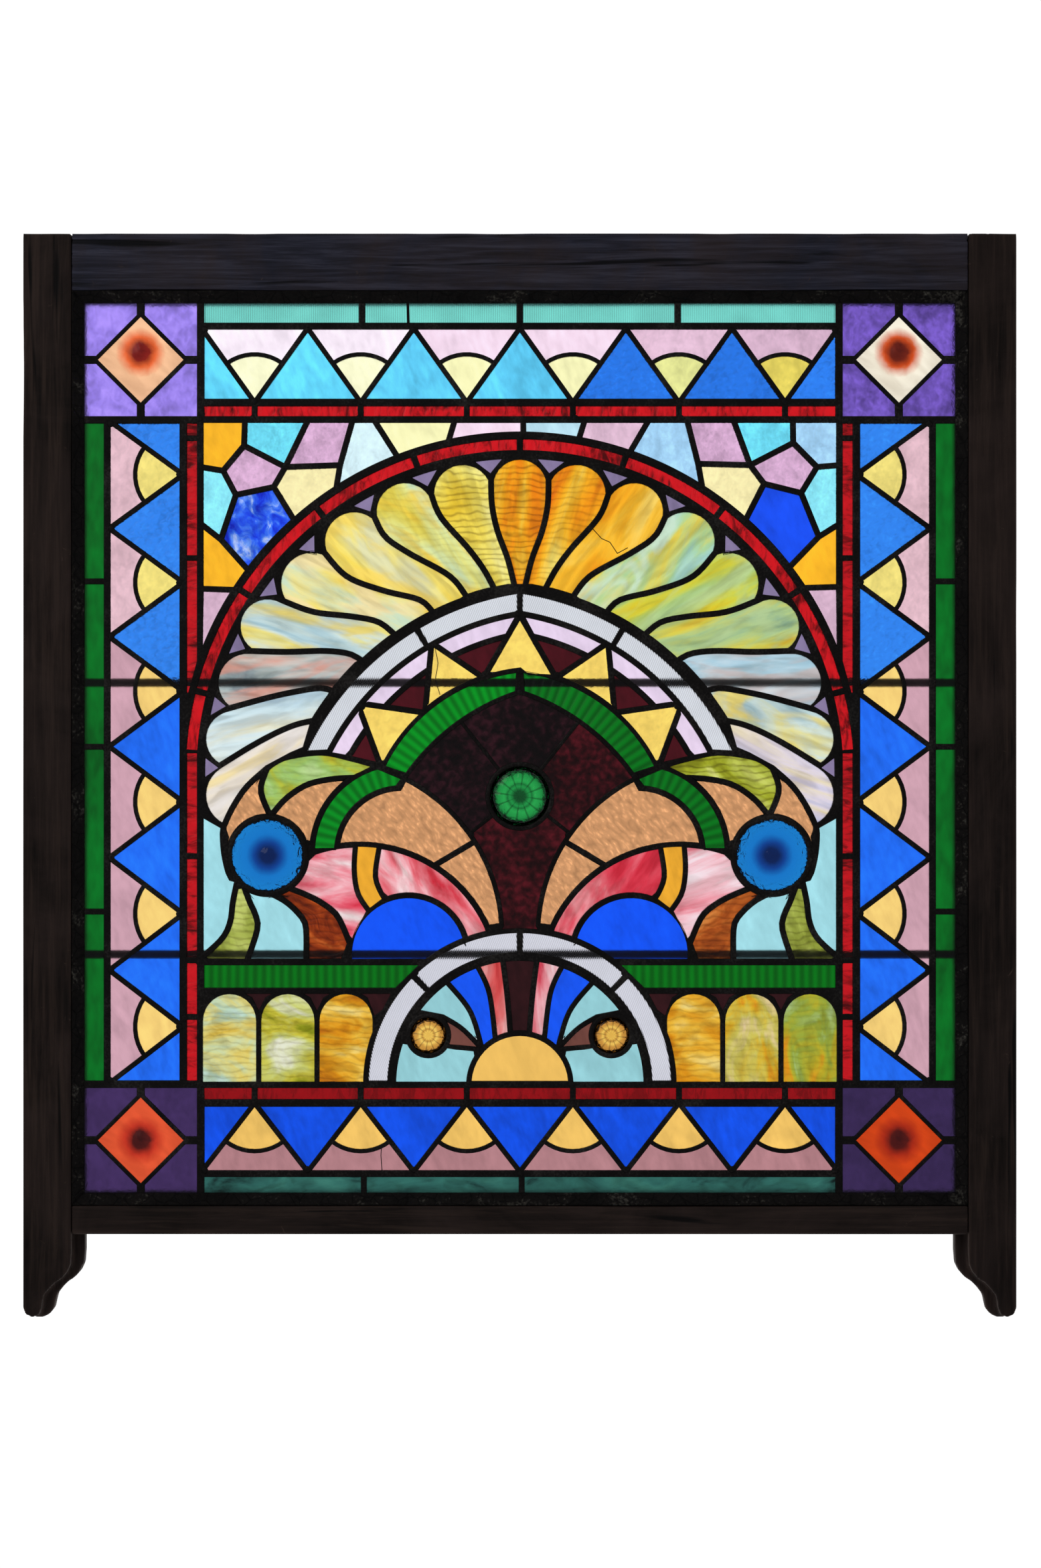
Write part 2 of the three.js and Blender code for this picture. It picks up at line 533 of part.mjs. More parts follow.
addPair([...leafFloor, ...armOuter(122, 175).slice(1), ...roundRondel(20, 86).slice(0, -1)]);
addPair([...armInner(174.3, 92), ...arcBetween(fieldArm, fieldShoulder, salmonSplit), ...motifLine(58, 99.3)]);
addPair([...arcBetween(fieldArm, salmonSplit, fieldFoot), ...motifLine(24, 58)]);
addPair([...motifLine(109, 91.5), ...pinkSide.slice(1), [-180, 268], ...[...brownTop].reverse().slice(1),
  ...roundRondel(-57, -6)]);
addPair([...motifLine(91.5, 82), ...goldSide.slice(1), ...[...pinkSide].reverse().slice(0, -1)], 5);
addPair([...motifLine(82, 24), ...whiteHalf(101.6, 110.3), ...domeLine(17, 111),
  ...[...goldSide].reverse().slice(1)]);
addPair([...domeLine(17, 187), ...whiteHalf(127.3, 110.3)]);
addPair([...brownTop, [-190, BAND_TOP], ...[...brownSide].reverse().slice(0, -1),
  ...roundRondel(-84, -57).slice(0, -1)]);
addPair([...brownSide, ...[...leafletRight].reverse().slice(0, -1), ...roundRondel(-128, -84).slice(0, -1)]);
addPair([...leafletRight, [-336, BAND_TOP], ...[...leafletLeft].reverse().slice(0, -1),
  ...roundRondel(-141, -128).slice(0, -1)]);
addPair([[W, 408], ...aquaSide, ...leafletLeft.slice(1)]);
panes.push(circle(RONDEL, 14), counterClockwise(mirror(circle(RONDEL, 14))));

// Green bands, round-headed lights with small spandrels, beside the half-round
const bandEnd = (z) => -Math.sqrt(HALF_ROUND.outer ** 2 - (z - SUN_Z) ** 2);
addPair([[W, BAND_TOP], [bandEnd(BAND_TOP) + 1, BAND_TOP], [bandEnd(BAND_BOTTOM), BAND_BOTTOM],
  [W, BAND_BOTTOM]], MAIN_CAME_W);
const lightEdges = [-344, -281.2, -218.5];
const lightSpring = 185;
const lightHead = 31.4;
const roundHead = (x) => arc(x + lightHead, lightSpring, lightHead, 180, 0, 12);
lightEdges.slice(0, 2).forEach((x) => {
  addPair([[x, CENTRE_BOTTOM], ...roundHead(x), [x + 2 * lightHead, CENTRE_BOTTOM]], 5.6);
});
addPair([[-218.5, CENTRE_BOTTOM], ...roundHead(-218.5), [-156, 172], ...whiteHalf(161, 180).slice(1)], 5.6);
for (const x of lightEdges.slice(1)) {
  addPair([[x - 24, BAND_BOTTOM], [x + 24, BAND_BOTTOM], [x + 9, 208], [x, 190], [x - 9, 208]], 5.4);
}
addPair([[-180, BAND_BOTTOM], [bandEnd(BAND_BOTTOM) - 2, BAND_BOTTOM], [-146, 195], [-158, 186], [-166, 208]], 5.4);

// Half-round: white band, rays, leaves, small jewels and the sun
const rimGap = 1.2;
for (const [a, b] of [[90 + rimGap, 134.5 - rimGap], [134.5 + rimGap, 179]]) {
  const outline = [
    ...arc(0, SUN_Z, HALF_ROUND.outer - 3.2, a, b),
    ...arc(0, SUN_Z, HALF_ROUND.inner + 3.2, b, a),
  ].map(([x, z]) => [x, Math.max(z, CENTRE_BOTTOM + half)]);
  panes.push(counterClockwise(outline), counterClockwise(mirror(outline)));
}
const rim = (a, b) => arc(0, SUN_Z, HALF_ROUND.inner - 3.5, a, b);
const sunLine = (a, b) => arc(0, SUN_Z, SUN_R, a, b, 9);
const onRim = (deg) => polar(0, SUN_Z, HALF_ROUND.inner - 3.5, deg);
const onSun = (deg) => polar(0, SUN_Z, SUN_R, deg);
const rays = [
  { top: 97.9, foot: 100.8, mid: [-13.8, 212] },
  { top: 109.8, foot: 118.6, mid: [-33, 215] },
  { top: 125.6, foot: 137.3, mid: [-53.5, 195] },
].map((ray) => ({ ...ray, line: sweep([onRim(ray.top), ray.mid, onSun(ray.foot)], 3) }));
addPane([...rim(180 - rays[0].top, rays[0].top), ...rays[0].line.slice(1),
  ...sunLine(rays[0].foot, 180 - rays[0].foot).slice(1), ...mirror(rays[0].line).slice(1, -1)]);
for (let i = 0; i < 2; i += 1) {
  const [a, b] = [rays[i], rays[i + 1]];
  addPair([...rim(a.top, b.top), ...b.line.slice(1), ...sunLine(b.foot, a.foot).slice(1),
    ...[...a.line].reverse().slice(1, -1)], CAME_W - 0.8);
}
const smallRing = { ...SMALL_JEWEL, r: SMALL_JEWEL.r + RING_W / 2 };
const roundSmall = (a, b) => arc(smallRing.x, smallRing.z, smallRing.r, a, b, 11);
const rayTip = onSun(rays[2].foot);
const beakTop = sweep([[-83, 189], [-62, 176], rayTip], 3);
const beakFloor = sweep([rayTip, [-62, 156], [-76, 157]], 2);
addPair([...rim(rays[2].top, 145), ...beakTop, ...[...rays[2].line].reverse().slice(1, -1)], 5.6);
addPair([...beakTop, ...beakFloor.slice(1), ...roundSmall(-28, 30)], 5);
addPair([...rim(180, 160), ...roundSmall(200, 330), ...[...beakFloor].reverse().slice(1, -1),
  ...sunLine(147, 180)], 5.6);
panes.push(circle(SMALL_JEWEL, 10), counterClockwise(mirror(circle(SMALL_JEWEL, 10))));
panes.push(counterClockwise([...arc(0, SUN_Z, SUN_R - 3, 4, 176, 11)]));

// Solids
const top = -TOP_RAIL_H - SIGHT_H;
const rebateY = -SASH_T / 2 + REBATE_DEPTH;
const cameFront = rebateY - JOINT_GAP - CAME_DEPTH;

function toShape(points) {
  return new THREE.Shape(points.map(([x, z]) => new THREE.Vector2(x, z)));
}

// A prism with its outline in the X-Z plane, from y0 to y1, in panel coordinates
function prism(points, y0, y1, holes = []) {
  const shape = toShape(counterClockwise(points));
  shape.holes = holes.map(toShape);
  const geometry = new THREE.ExtrudeGeometry(shape, { depth: y1 - y0, bevelEnabled: false });
  geometry.rotateX(Math.PI / 2);
  geometry.translate(0, y1, top);
  return geometry;
}

function toManifold(geometry) {
  const g = geometry.clone();
  g.deleteAttribute("normal");
  g.deleteAttribute("uv");
  const merged = mergeVertices(g, 1e-4);
  const index = merged.index ?? new THREE.BufferAttribute(
    Uint32Array.from({ length: merged.attributes.position.count }, (_, i) => i), 1);
  return new wasm.Manifold(new wasm.Mesh({
    numProp: 3,
    vertProperties: Float32Array.from(merged.attributes.position.array),
    triVerts: Uint32Array.from(index.array),
  }));
}

function fromManifold(solid) {
  const mesh = solid.getMesh();
  const geometry = new THREE.BufferGeometry();
  geometry.setAttribute("position", new THREE.BufferAttribute(new Float32Array(mesh.vertProperties), 3));
  geometry.setIndex(new THREE.BufferAttribute(new Uint32Array(mesh.triVerts), 1));
  return geometry;
}

const asSolid = (piece) => (piece.isBufferGeometry ? toManifold(piece) : piece);
const cut = (piece, ...tools) => tools.reduce((s, t) => s.subtract(asSolid(t)), asSolid(piece));
const join = (piece, ...more) => more.reduce((s, t) => s.add(asSolid(t)), asSolid(piece));

const sash = new THREE.Group();
function addNode(name, piece, color, roughness = 0.8, metalness = 0) {
  const geometry = piece.isBufferGeometry ? piece : fromManifold(piece);
  const flat = geometry.index ? geometry.toNonIndexed() : geometry;
  flat.computeVertexNormals();
  const material = new THREE.MeshStandardMaterial({ color, roughness, metalness });
  const mesh = new THREE.Mesh(flat, material);
  mesh.name = name;
  sash.add(mesh);
}

// Wooden frame
const WOOD = 0x1c1817;
const outerX = SIGHT_HALF_W + STILE_W;
const sashTop = SIGHT_H + TOP_RAIL_H;
const frontX = SIGHT_HALF_W + REBATE_W;
const barY = rebateY + BAR_SETBACK + BAR_D / 2;
function stileOutline(innerX, length) {
  // The horn is an ogee: a round bulge under the rail, then a hollow, then a round tip
  const foot = -BOTTOM_RAIL_H;
  const end = foot - length;
  const tip = (outerX - innerX - HORN_NECK) / 2;
  return [
    [outerX, sashTop],
    [innerX, sashTop],
    [innerX, foot - 19],
    ...sweep([[innerX + 0.5, foot - 24], [innerX + 2, foot - 36], [innerX + 10, foot - 47],
      [innerX + 20, foot - 54], [innerX + 30, foot - 66]], 6),
    ...arc(outerX - tip, end + tip, tip, 180, 360, 7),
  ];
}
function bar(z, length) {
  const g = new THREE.CylinderGeometry(BAR_D / 2, BAR_D / 2, length, 12);
  g.rotateZ(Math.PI / 2);
  g.translate(0, barY, top + z);
  return g;
}
function barHole(z) {
  const r = BAR_D / 2 + JOINT_GAP;
  const g = new THREE.CylinderGeometry(r, r, 2 * (SIGHT_HALF_W + BAR_SOCKET + JOINT_GAP), 12);
  g.rotateZ(Math.PI / 2);
  g.translate(0, barY, top + z);
  return g;
}

const stileFront = prism(stileOutline(frontX, HORN_LEN - HORN_FRONT_SHORT), -SASH_T / 2, rebateY);
const stileBack = prism(stileOutline(SIGHT_HALF_W, HORN_LEN), rebateY, SASH_T / 2);
const stile = fromManifold(cut(join(stileFront, stileBack), barHole(UPPER_BAR_Z), barHole(LOWER_BAR_Z)));
addNode("stile_right", stile, WOOD);
const stileLeft = stile.clone();
stileLeft.scale(-1, 1, 1);
const flipped = stileLeft.index.array;
for (let i = 0; i < flipped.length; i += 3) {
  [flipped[i + 1], flipped[i + 2]] = [flipped[i + 2], flipped[i + 1]];
}
addNode("stile_left", stileLeft, WOOD);

const railX = SIGHT_HALF_W - JOINT_GAP;
function rail(zEdge, zSight, zFace) {
  const level = (x, za, zb) => rect(-x, Math.min(za, zb), x, Math.max(za, zb));
  const back = prism(level(railX, zEdge, zSight), rebateY, SASH_T / 2);
  const front = prism(level(frontX - JOINT_GAP, zEdge, zFace), -SASH_T / 2, rebateY);
  return join(back, front);
}
addNode("rail_top", rail(sashTop, SIGHT_H, SIGHT_H + REBATE_W), WOOD);
addNode("rail_bottom", rail(-BOTTOM_RAIL_H, 0, -REBATE_W), WOOD);

// Putty: one sloped bead round the rebate, in front of the cames
const puttyX = frontX - JOINT_GAP;
const puttyOut = REBATE_W - JOINT_GAP;
const puttyFront = -SASH_T / 2 + PUTTY_PROUD;
const puttyBack = cameFront - JOINT_GAP;

// A block that widens by the spread from its back face to its front face
function frustum(xBack, zLowBack, zHighBack, spread, yFront, yBack) {
  const ring = (x, lo, hi, y) => [[-x, y, top + lo], [x, y, top + lo], [x, y, top + hi], [-x, y, top + hi]];
  const v = [...ring(xBack, zLowBack, zHighBack, yBack),
    ...ring(xBack + spread, zLowBack - spread, zHighBack + spread, yFront)];
  const g = new THREE.BufferGeometry();
  g.setAttribute("position", new THREE.BufferAttribute(new Float32Array(v.flat()), 3));
  g.setIndex([0, 2, 1, 0, 3, 2, 4, 5, 6, 4, 6, 7, 0, 1, 5, 0, 5, 4, 1, 2, 6, 1, 6, 5,
    2, 3, 7, 2, 7, 6, 3, 0, 4, 3, 4, 7]);
  return g;
}

const slope = REBATE_W / (puttyBack - puttyFront);
const over = 4;
const puttyBlock = prism(rect(-puttyX, -puttyOut, puttyX, SIGHT_H + puttyOut), puttyFront, puttyBack);
const puttyVoid = frustum(SIGHT_HALF_W - over * slope, over * slope, SIGHT_H - over * slope,
  (puttyBack - puttyFront + 2 * over) * slope, puttyFront - over, puttyBack + over);
addNode("glazing_putty", cut(puttyBlock, puttyVoid), 0x2c2a26, 0.9);

// Saddle bars
addNode("saddle_bar_upper", bar(UPPER_BAR_Z, 2 * (SIGHT_HALF_W + BAR_SOCKET)), 0x191513, 0.7, 0.4);
addNode("saddle_bar_lower", bar(LOWER_BAR_Z, 2 * (SIGHT_HALF_W + BAR_SOCKET)), 0x191513, 0.7, 0.4);

// Glass sheets: each fused from the pieces of one part of the design, in the channels of the cames
const glassFront = cameFront + FLANGE_T + GLASS_GAP;
const glassBack = cameFront + CAME_DEPTH - FLANGE_T - GLASS_GAP;
const heartGap = HEART_W / 2 + GLASS_GAP;
const sheets = [];
const slab = (points, holes = []) => prism(points, glassFront, glassBack, holes);
function addSheet(name, points, color, holes = []) {
  const outline = flatten(counterClockwise(points), SHEET_FLATNESS);
  sheets.push({ name, outline, holes, color });
}

const edgeX = SIGHT_HALF_W + PANEL_EDGE;
const sheetRect = (left, low, right, high) =>
  rect(left + heartGap, low + heartGap, right - heartGap, high - heartGap);
const sideName = (side) => (side < 0 ? "left" : "right");
for (const { side, c, zOut } of corners) {
  const level = zOut === 0 ? "bottom" : "top";
  const zEdge = zOut === 0 ? -PANEL_EDGE : SIGHT_H + PANEL_EDGE;
  const zIn = zOut === 0 ? CENTRE_BOTTOM : CENTRE_TOP;
  const xs = [side * CENTRE_HALF_W, side * edgeX].sort((a, b) => a - b);
  const zs = [zEdge, zIn].sort((a, b) => a - b);
  const r = DIAMOND_HALF + 1;
  addSheet(`corner_glass_${level}_${sideName(side)}`, sheetRect(xs[0], zs[0], xs[1], zs[1]), 0x5a4592,
    [diamondAt(c, r + 2 * heartGap)]);
  addSheet(`bullion_${level}_${sideName(side)}`, diamondAt(c, r), 0xd8683a);
}
addSheet("border_top", sheetRect(-CENTRE_HALF_W, TOP_INNER, CENTRE_HALF_W, SIGHT_H + PANEL_EDGE), 0x6fc4ea);
addSheet("border_bottom", sheetRect(-CENTRE_HALF_W, -PANEL_EDGE, CENTRE_HALF_W, BOTTOM_INNER), 0x2f63c8);
addSheet("border_left", sheetRect(-edgeX, CENTRE_BOTTOM, -SIDE_INNER, CENTRE_TOP), 0x4f9ae0);
addSheet("border_right", sheetRect(SIDE_INNER, CENTRE_BOTTOM, edgeX, CENTRE_TOP), 0x3f86dc);
addSheet("red_strip_top", sheetRect(-CENTRE_HALF_W, CENTRE_TOP, CENTRE_HALF_W, TOP_INNER), 0xd01822);
addSheet("red_strip_bottom", sheetRect(-CENTRE_HALF_W, BOTTOM_INNER, CENTRE_HALF_W, CENTRE_BOTTOM), 0x98101a);
const meet = ARCH_Z + Math.sqrt(ARCH_OUTER_R ** 2 - CENTRE_HALF_W ** 2);
for (const side of [-1, 1]) {
  const a = side * (CENTRE_HALF_W + heartGap);
  const b = side * (SIDE_INNER - heartGap);
  addSheet(`red_strip_upper_${sideName(side)}`,
    [[a, CENTRE_TOP - heartGap], [a, meet + 5], [b, meet - 38], [b, CENTRE_TOP - heartGap]], 0xd01822);
}
const withinSides = (points, x) => points.map(([u, v]) => [THREE.MathUtils.clamp(u, -x, x), v]);
const archBand = (r, x) => [[x, CENTRE_BOTTOM + heartGap],
  ...withinSides(arc(0, ARCH_Z, r, 0, 180, SHEET_STEP), x), [-x, CENTRE_BOTTOM + heartGap]];
const bandIn = Math.min(ARCH_INNER_R + heartGap, CENTRE_HALF_W + heartGap);
addSheet("red_arch", [...archBand(ARCH_OUTER_R - heartGap, SIDE_INNER - heartGap),
  ...archBand(bandIn, CENTRE_HALF_W + heartGap).reverse()], 0xc8141e);
const archOut = ARCH_OUTER_R + heartGap;
const cornerAngle = degrees(Math.acos((CENTRE_HALF_W - heartGap) / archOut));
const mosaicOutline = (xCentre, side) => [
  [xCentre, CENTRE_TOP - heartGap],
  ...arc(0, ARCH_Z, archOut, 90 - side * 0.6, side > 0 ? cornerAngle : 180 - cornerAngle, SHEET_STEP),
  [side * (CENTRE_HALF_W - heartGap), CENTRE_TOP - heartGap],
];
addSheet("mosaic_left", mosaicOutline(L.topF[0] - heartGap, -1), 0xd8c8b0);
addSheet("mosaic_right", mosaicOutline(L.topF[0] + heartGap, 1), 0xc8c8d8);

// Lancet outlines, open at the foot, with the line over the leaf as the lower end of each side
const lancetOutline = (lancet, r, foot) => {
  const left = lancetArc(lancet, r, lancetTop(lancet, r), foot, SHEET_STEP);
  return [...mirror(left), ...left.slice(1)];
};
const lastX = -CENTRE_HALF_W + heartGap;
const floorLine = [[lastX, 408], ...lastPetalFloor, ...leafTop.slice(1)];
const raised = (points, dz) => points.map(([x, z]) => [x, z + dz]);
function splitAt(points, x) {
  // The part of a line, left to right, that lies left of x, and the part that lies right of it
  const i = points.findIndex((p) => p[0] > x);
  const [a, b] = [points[i - 1], points[i]];
  const t = (x - a[0]) / (b[0] - a[0]);
  const p = [x, a[1] + t * (b[1] - a[1])];
  return [[...points.slice(0, i), p], [p, ...points.slice(i)]];
}
const upFloor = raised(floorLine, heartGap);
const whiteOutX = onLancet(WHITE_LANCET, WHITE_LANCET.outer, whiteFoot)[0];
const whiteInX = onLancet(WHITE_LANCET, WHITE_LANCET.inner, 152.3)[0];
const petalFloor = splitAt(upFloor, whiteOutX - heartGap)[0];
const starFloor = splitAt(upFloor, whiteInX + heartGap)[1].filter((p) => p[0] < -158);
const fanOuter = withinSides(arc(0, ARCH_Z, ARCH_INNER_R - heartGap, 0, 180, SHEET_STEP), -lastX);
addSheet("petal_fan", [...fanOuter, ...petalFloor,
  ...[...lancetOutline(WHITE_LANCET, WHITE_LANCET.outer + heartGap, whiteFoot)].reverse(),
  ...mirror(petalFloor)], 0xe8c860);
addSheet("white_lancet", [...lancetOutline(WHITE_LANCET, WHITE_LANCET.outer - heartGap, whiteFoot),
  ...[...lancetOutline(WHITE_LANCET, WHITE_LANCET.inner + heartGap, whiteInnerFoot)].reverse()], 0xdce0e8);
addSheet("star_band", [...lancetOutline(WHITE_LANCET, WHITE_LANCET.inner - heartGap, 152.3),
  ...starFloor, [-154, 464], ...[...lancetOutline(GREEN_LANCET, GREEN_LANCET.outer + heartGap, 152)].reverse(),
  [154, 464], ...mirror(starFloor)], 0xf0c860);
const greenInside = (dr, foot) => lancetOutline(GREEN_INNER, GREEN_INNER.r + dr, foot);
addSheet("green_lancet", [...lancetOutline(GREEN_LANCET, GREEN_LANCET.outer - heartGap, greenFoot),
  ...[...greenInside(heartGap, 141)].reverse()], 0x0c7a26);

// Dark field, and the motifs beside it
const fieldIn = { x: FIELD_ARC.x, z: FIELD_ARC.z, r: FIELD_ARC.r + heartGap };
const fieldOut = { x: FIELD_ARC.x, z: FIELD_ARC.z, r: FIELD_ARC.r - heartGap };
const fieldSide = arc(fieldIn.x, fieldIn.z, fieldIn.r, 61, 5, SHEET_STEP);
const greenIn = greenInside(-heartGap, 144.5);
const halfTop = arc(0, SUN_Z, HALF_ROUND.outer + heartGap, 97, 83, SHEET_STEP);
addSheet("centre_field", [...greenIn, ...fieldSide, ...halfTop, ...mirror(fieldSide)], 0x3a0710,
  [roundHole(JEWEL, JEWEL.r + JEWEL_LIP + 2 * heartGap)]);
const motifSide = arc(fieldOut.x, fieldOut.z, fieldOut.r, 5, 63, SHEET_STEP);
const halfLeft = arc(0, SUN_Z, HALF_ROUND.outer + heartGap, 126, 99.5, SHEET_STEP);
const downFloor = raised(floorLine, -heartGap);
const motifTop = [...downFloor.filter((p) => p[0] < -166), [-160, 456]];
const motif = [[lastX, BAND_TOP + heartGap], ...halfLeft, ...motifSide, [-129, 449], ...[...motifTop].reverse()];
const rondelHole = roundHole(RONDEL, RONDEL.r + JEWEL_LIP + 2 * heartGap);
addSheet("motif_left", motif, 0xc88850, [rondelHole]);
addSheet("motif_right", mirror(motif), 0xc88850, [mirror(rondelHole)]);

// Lower lights and the half-round
const lower = [[lastX, CENTRE_BOTTOM + heartGap],
  ...arc(0, SUN_Z, HALF_ROUND.outer + heartGap, 179, 128.5, SHEET_STEP), [lastX, BAND_TOP - heartGap]];
addSheet("lower_lights_left", lower, 0xc8c070);
addSheet("lower_lights_right", mirror(lower), 0xd0b860);
const halfDisc = (r) => arc(0, SUN_Z, r, 0, 180, 28).map(([x, z]) => [x, Math.max(z, CENTRE_BOTTOM + heartGap)]);
addSheet("white_half_round", [...halfDisc(HALF_ROUND.outer - heartGap),
  ...halfDisc(HALF_ROUND.inner + heartGap).reverse()], 0xd4d4dc);
const smallHole = roundHole(SMALL_JEWEL, SMALL_JEWEL.r + SMALL_JEWEL_LIP + 2 * heartGap, 12);
addSheet("half_round_glass", [...halfDisc(HALF_ROUND.inner - heartGap), ...halfDisc(SUN_R + heartGap).reverse()],
  0x6aa8c8, [smallHole, mirror(smallHole)]);
addSheet("sun", halfDisc(SUN_R - heartGap), 0xe8b04c);
for (const { name, outline, holes, color } of sheets) {
  addNode(name, slab(outline, holes), color, 0.15);
}

// Pressed jewels and rondels: turned profiles, proud of the cames on the front
function turned(profile, at, sides) {
  const g = new THREE.LatheGeometry([...profile].reverse().map(([r, y]) => new THREE.Vector2(r, y)), sides);
  g.translate(at.x, 0, top + at.z);
  return mergeVertices(g, 1e-4);
}
function jewelProfile(round, extra, proud) {
  const r = round.r + extra;
  const s = round.r - 1.6;
  return [[0, glassBack], [r, glassBack], [r, glassFront], [s, glassFront], [s * 0.92, cameFront - proud * 0.4],
    [s * 0.62, cameFront - proud], [s * 0.5, cameFront - proud * 0.8], [0, cameFront - proud * 0.5]];
}
function rondelProfile(round, extra) {
  const r = round.r + extra;
  return [[0, glassBack], [r, glassBack], [r, glassFront], [round.r * 0.35, glassFront],
    [round.r * 0.22, glassFront - 2], [0, glassFront - 2.6]];
}
function addRound(name, profile, at, color, sides) {
  addNode(name, turned(profile, at, sides), color, 0.1);
}
const flip = (round) => ({ ...round, x: -round.x });
addRound("jewel_green", jewelProfile(JEWEL, JEWEL_LIP, JEWEL_PROUD), JEWEL, 0x109038, 14);
for (const [side, place] of [["left", (r) => r], ["right", flip]]) {
  const profile = jewelProfile(SMALL_JEWEL, SMALL_JEWEL_LIP, SMALL_JEWEL_PROUD);
  addRound(`jewel_yellow_${side}`, profile, place(SMALL_JEWEL), 0xe8c050, 12);
  addRound(`rondel_blue_${side}`, rondelProfile(RONDEL, JEWEL_LIP), place(RONDEL), 0x1080d0, 16);
}

// Lead cames: front flanges round every pane, back flanges and hearts round every sheet
const plate = rect(-edgeX, -PANEL_EDGE, edgeX, SIGHT_H + PANEL_EDGE);
const through = 1;
const windows = panes.map((pane) => prism(pane, cameFront - through, cameFront + FLANGE_T + through));
const front = cut(prism(plate, cameFront, cameFront + FLANGE_T), ...windows);
const rounds = [{ at: JEWEL, r: JEWEL.r + JEWEL_LIP }, { at: SMALL_JEWEL, r: SMALL_JEWEL.r + SMALL_JEWEL_LIP },
  { at: flip(SMALL_JEWEL), r: SMALL_JEWEL.r + SMALL_JEWEL_LIP }, { at: RONDEL, r: RONDEL.r + JEWEL_LIP },
  { at: flip(RONDEL), r: RONDEL.r + JEWEL_LIP }];
const channelFront = cameFront + FLANGE_T;
const channelBack = cameFront + CAME_DEPTH - FLANGE_T;
const channels = [
  ...sheets.map(({ outline, holes }) => prism(inset(outline, -GLASS_GAP), channelFront, channelBack,
    holes.map((hole) => inset(hole, GLASS_GAP)))),
  ...rounds.map(({ at, r }) => prism(roundHole(at, r + GLASS_GAP), channelFront, channelBack)),
];
const openings = sheets.map(({ outline }) => prism(flatten(inset(outline, BACK_LIP), BACK_FLATNESS),
  channelBack - through, cameFront + CAME_DEPTH + through));
const core = prism(plate, channelFront, cameFront + CAME_DEPTH);
addNode("lead_cames", join(cut(core, ...channels, ...openings), front), 0x1e1b19, 0.55, 0.5);

export default sash;
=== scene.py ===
"""A leaded glass window sash, seen from its puttied side and lit from behind.

The panel is laid out in panel coordinates (x, z) in millimetres: x from the centre line, z up from
the lower sight line of the glass. place() turns them into metres in the frame.
"""
import math
from functools import partial

import bmesh
import bpy
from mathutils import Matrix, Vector, geometry, noise


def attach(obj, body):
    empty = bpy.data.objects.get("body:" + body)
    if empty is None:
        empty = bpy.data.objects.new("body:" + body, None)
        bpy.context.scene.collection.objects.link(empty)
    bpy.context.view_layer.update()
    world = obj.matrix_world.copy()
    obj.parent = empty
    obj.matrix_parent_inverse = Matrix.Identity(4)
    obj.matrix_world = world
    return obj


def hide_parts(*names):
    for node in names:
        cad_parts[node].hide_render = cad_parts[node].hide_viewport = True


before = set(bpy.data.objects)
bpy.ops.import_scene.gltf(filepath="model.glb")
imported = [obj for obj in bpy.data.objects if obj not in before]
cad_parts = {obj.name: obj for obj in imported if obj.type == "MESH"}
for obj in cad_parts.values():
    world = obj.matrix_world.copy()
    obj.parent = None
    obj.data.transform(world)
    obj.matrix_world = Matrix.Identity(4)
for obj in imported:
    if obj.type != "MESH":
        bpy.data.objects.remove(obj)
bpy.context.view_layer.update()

# Sash and leaded panel, in millimetres, as the solids have them
SIGHT_HALF_W = 468.7
SIGHT_H = 957
TOP_RAIL_H = 74
SASH_T = 44
REBATE_W = 13
REBATE_DEPTH = 18
CAME_DEPTH = 7
FLANGE_T = 1.8
CAME_W = 6.4
MAIN_CAME_W = 8
FINE_CAME_W = 4.6
PANEL_EDGE = 8
BAR_D = 9.5
BAR_HEIGHTS = {"saddle_bar_upper": 549, "saddle_bar_lower": 256}
CENTRE_HALF_W = 343.7
BORDER_MARGIN = 24.7
BORDER_BAND_W = 82
RED_STRIP_W = 18.6
SIDE_OUTER = SIGHT_HALF_W - BORDER_MARGIN
SIDE_INNER = CENTRE_HALF_W + RED_STRIP_W
TOP_OUTER = SIGHT_H - BORDER_MARGIN
TOP_INNER = TOP_OUTER - BORDER_BAND_W
CENTRE_TOP = TOP_INNER - RED_STRIP_W
BOTTOM_OUTER = 20.7
BOTTOM_INNER = 96.5
CENTRE_BOTTOM = 116.5
WEDGES = 6
WEDGE_ARC_R = 51
ZIGZAG_BOW = 6
BAND_INSET = 1
DIAMOND_HALF = 48
DIAMOND_LAP = 2
DIAMOND_TIE_W = 8.5
ARCH_Z = 451
RED_ARCH_FOOT = 476
ARCH_OUTER_R = 364
ARCH_INNER_R = ARCH_OUTER_R - 19.6
ARCH_LIP = {"outer": 4.3, "inner": 3.9}
WHITE_LANCET = {"x": 43.9, "z": 346.7, "outer": 304.5, "inner": 279.9}
LILAC_INNER_R = 258.6
GREEN_LANCET = {"x": 19.8, "z": 377.3, "outer": 186.6}
GREEN_INNER = {"x": 71.8, "z": 313.7, "r": 235.8}
GREEN_ARM = {"x": -127.4, "z": 365.7, "outer": 96.4, "inner": 69.7}
GREEN_RIB_R = 175
ARM_RIB_R = 83
FIELD_ARC = {"x": -206.8, "z": 277.4, "r": 188}
BAND_TOP = 248.6
BAND_BOTTOM = 216.5
SUN_Z = CENTRE_BOTTOM
SUN_R = 55
HALF_ROUND = {"outer": 166, "inner": 139.5}
JEWEL = {"x": 0, "z": 426.6, "r": 31.8}
SMALL_JEWEL = {"x": -98.5, "z": 169.3, "r": 19.1}
RONDEL = {"x": -271.5, "z": 363, "r": 38.3}
RING_W = 6
MITRE_LIMIT = 4
STEP = 7
FINE_STEP = 4

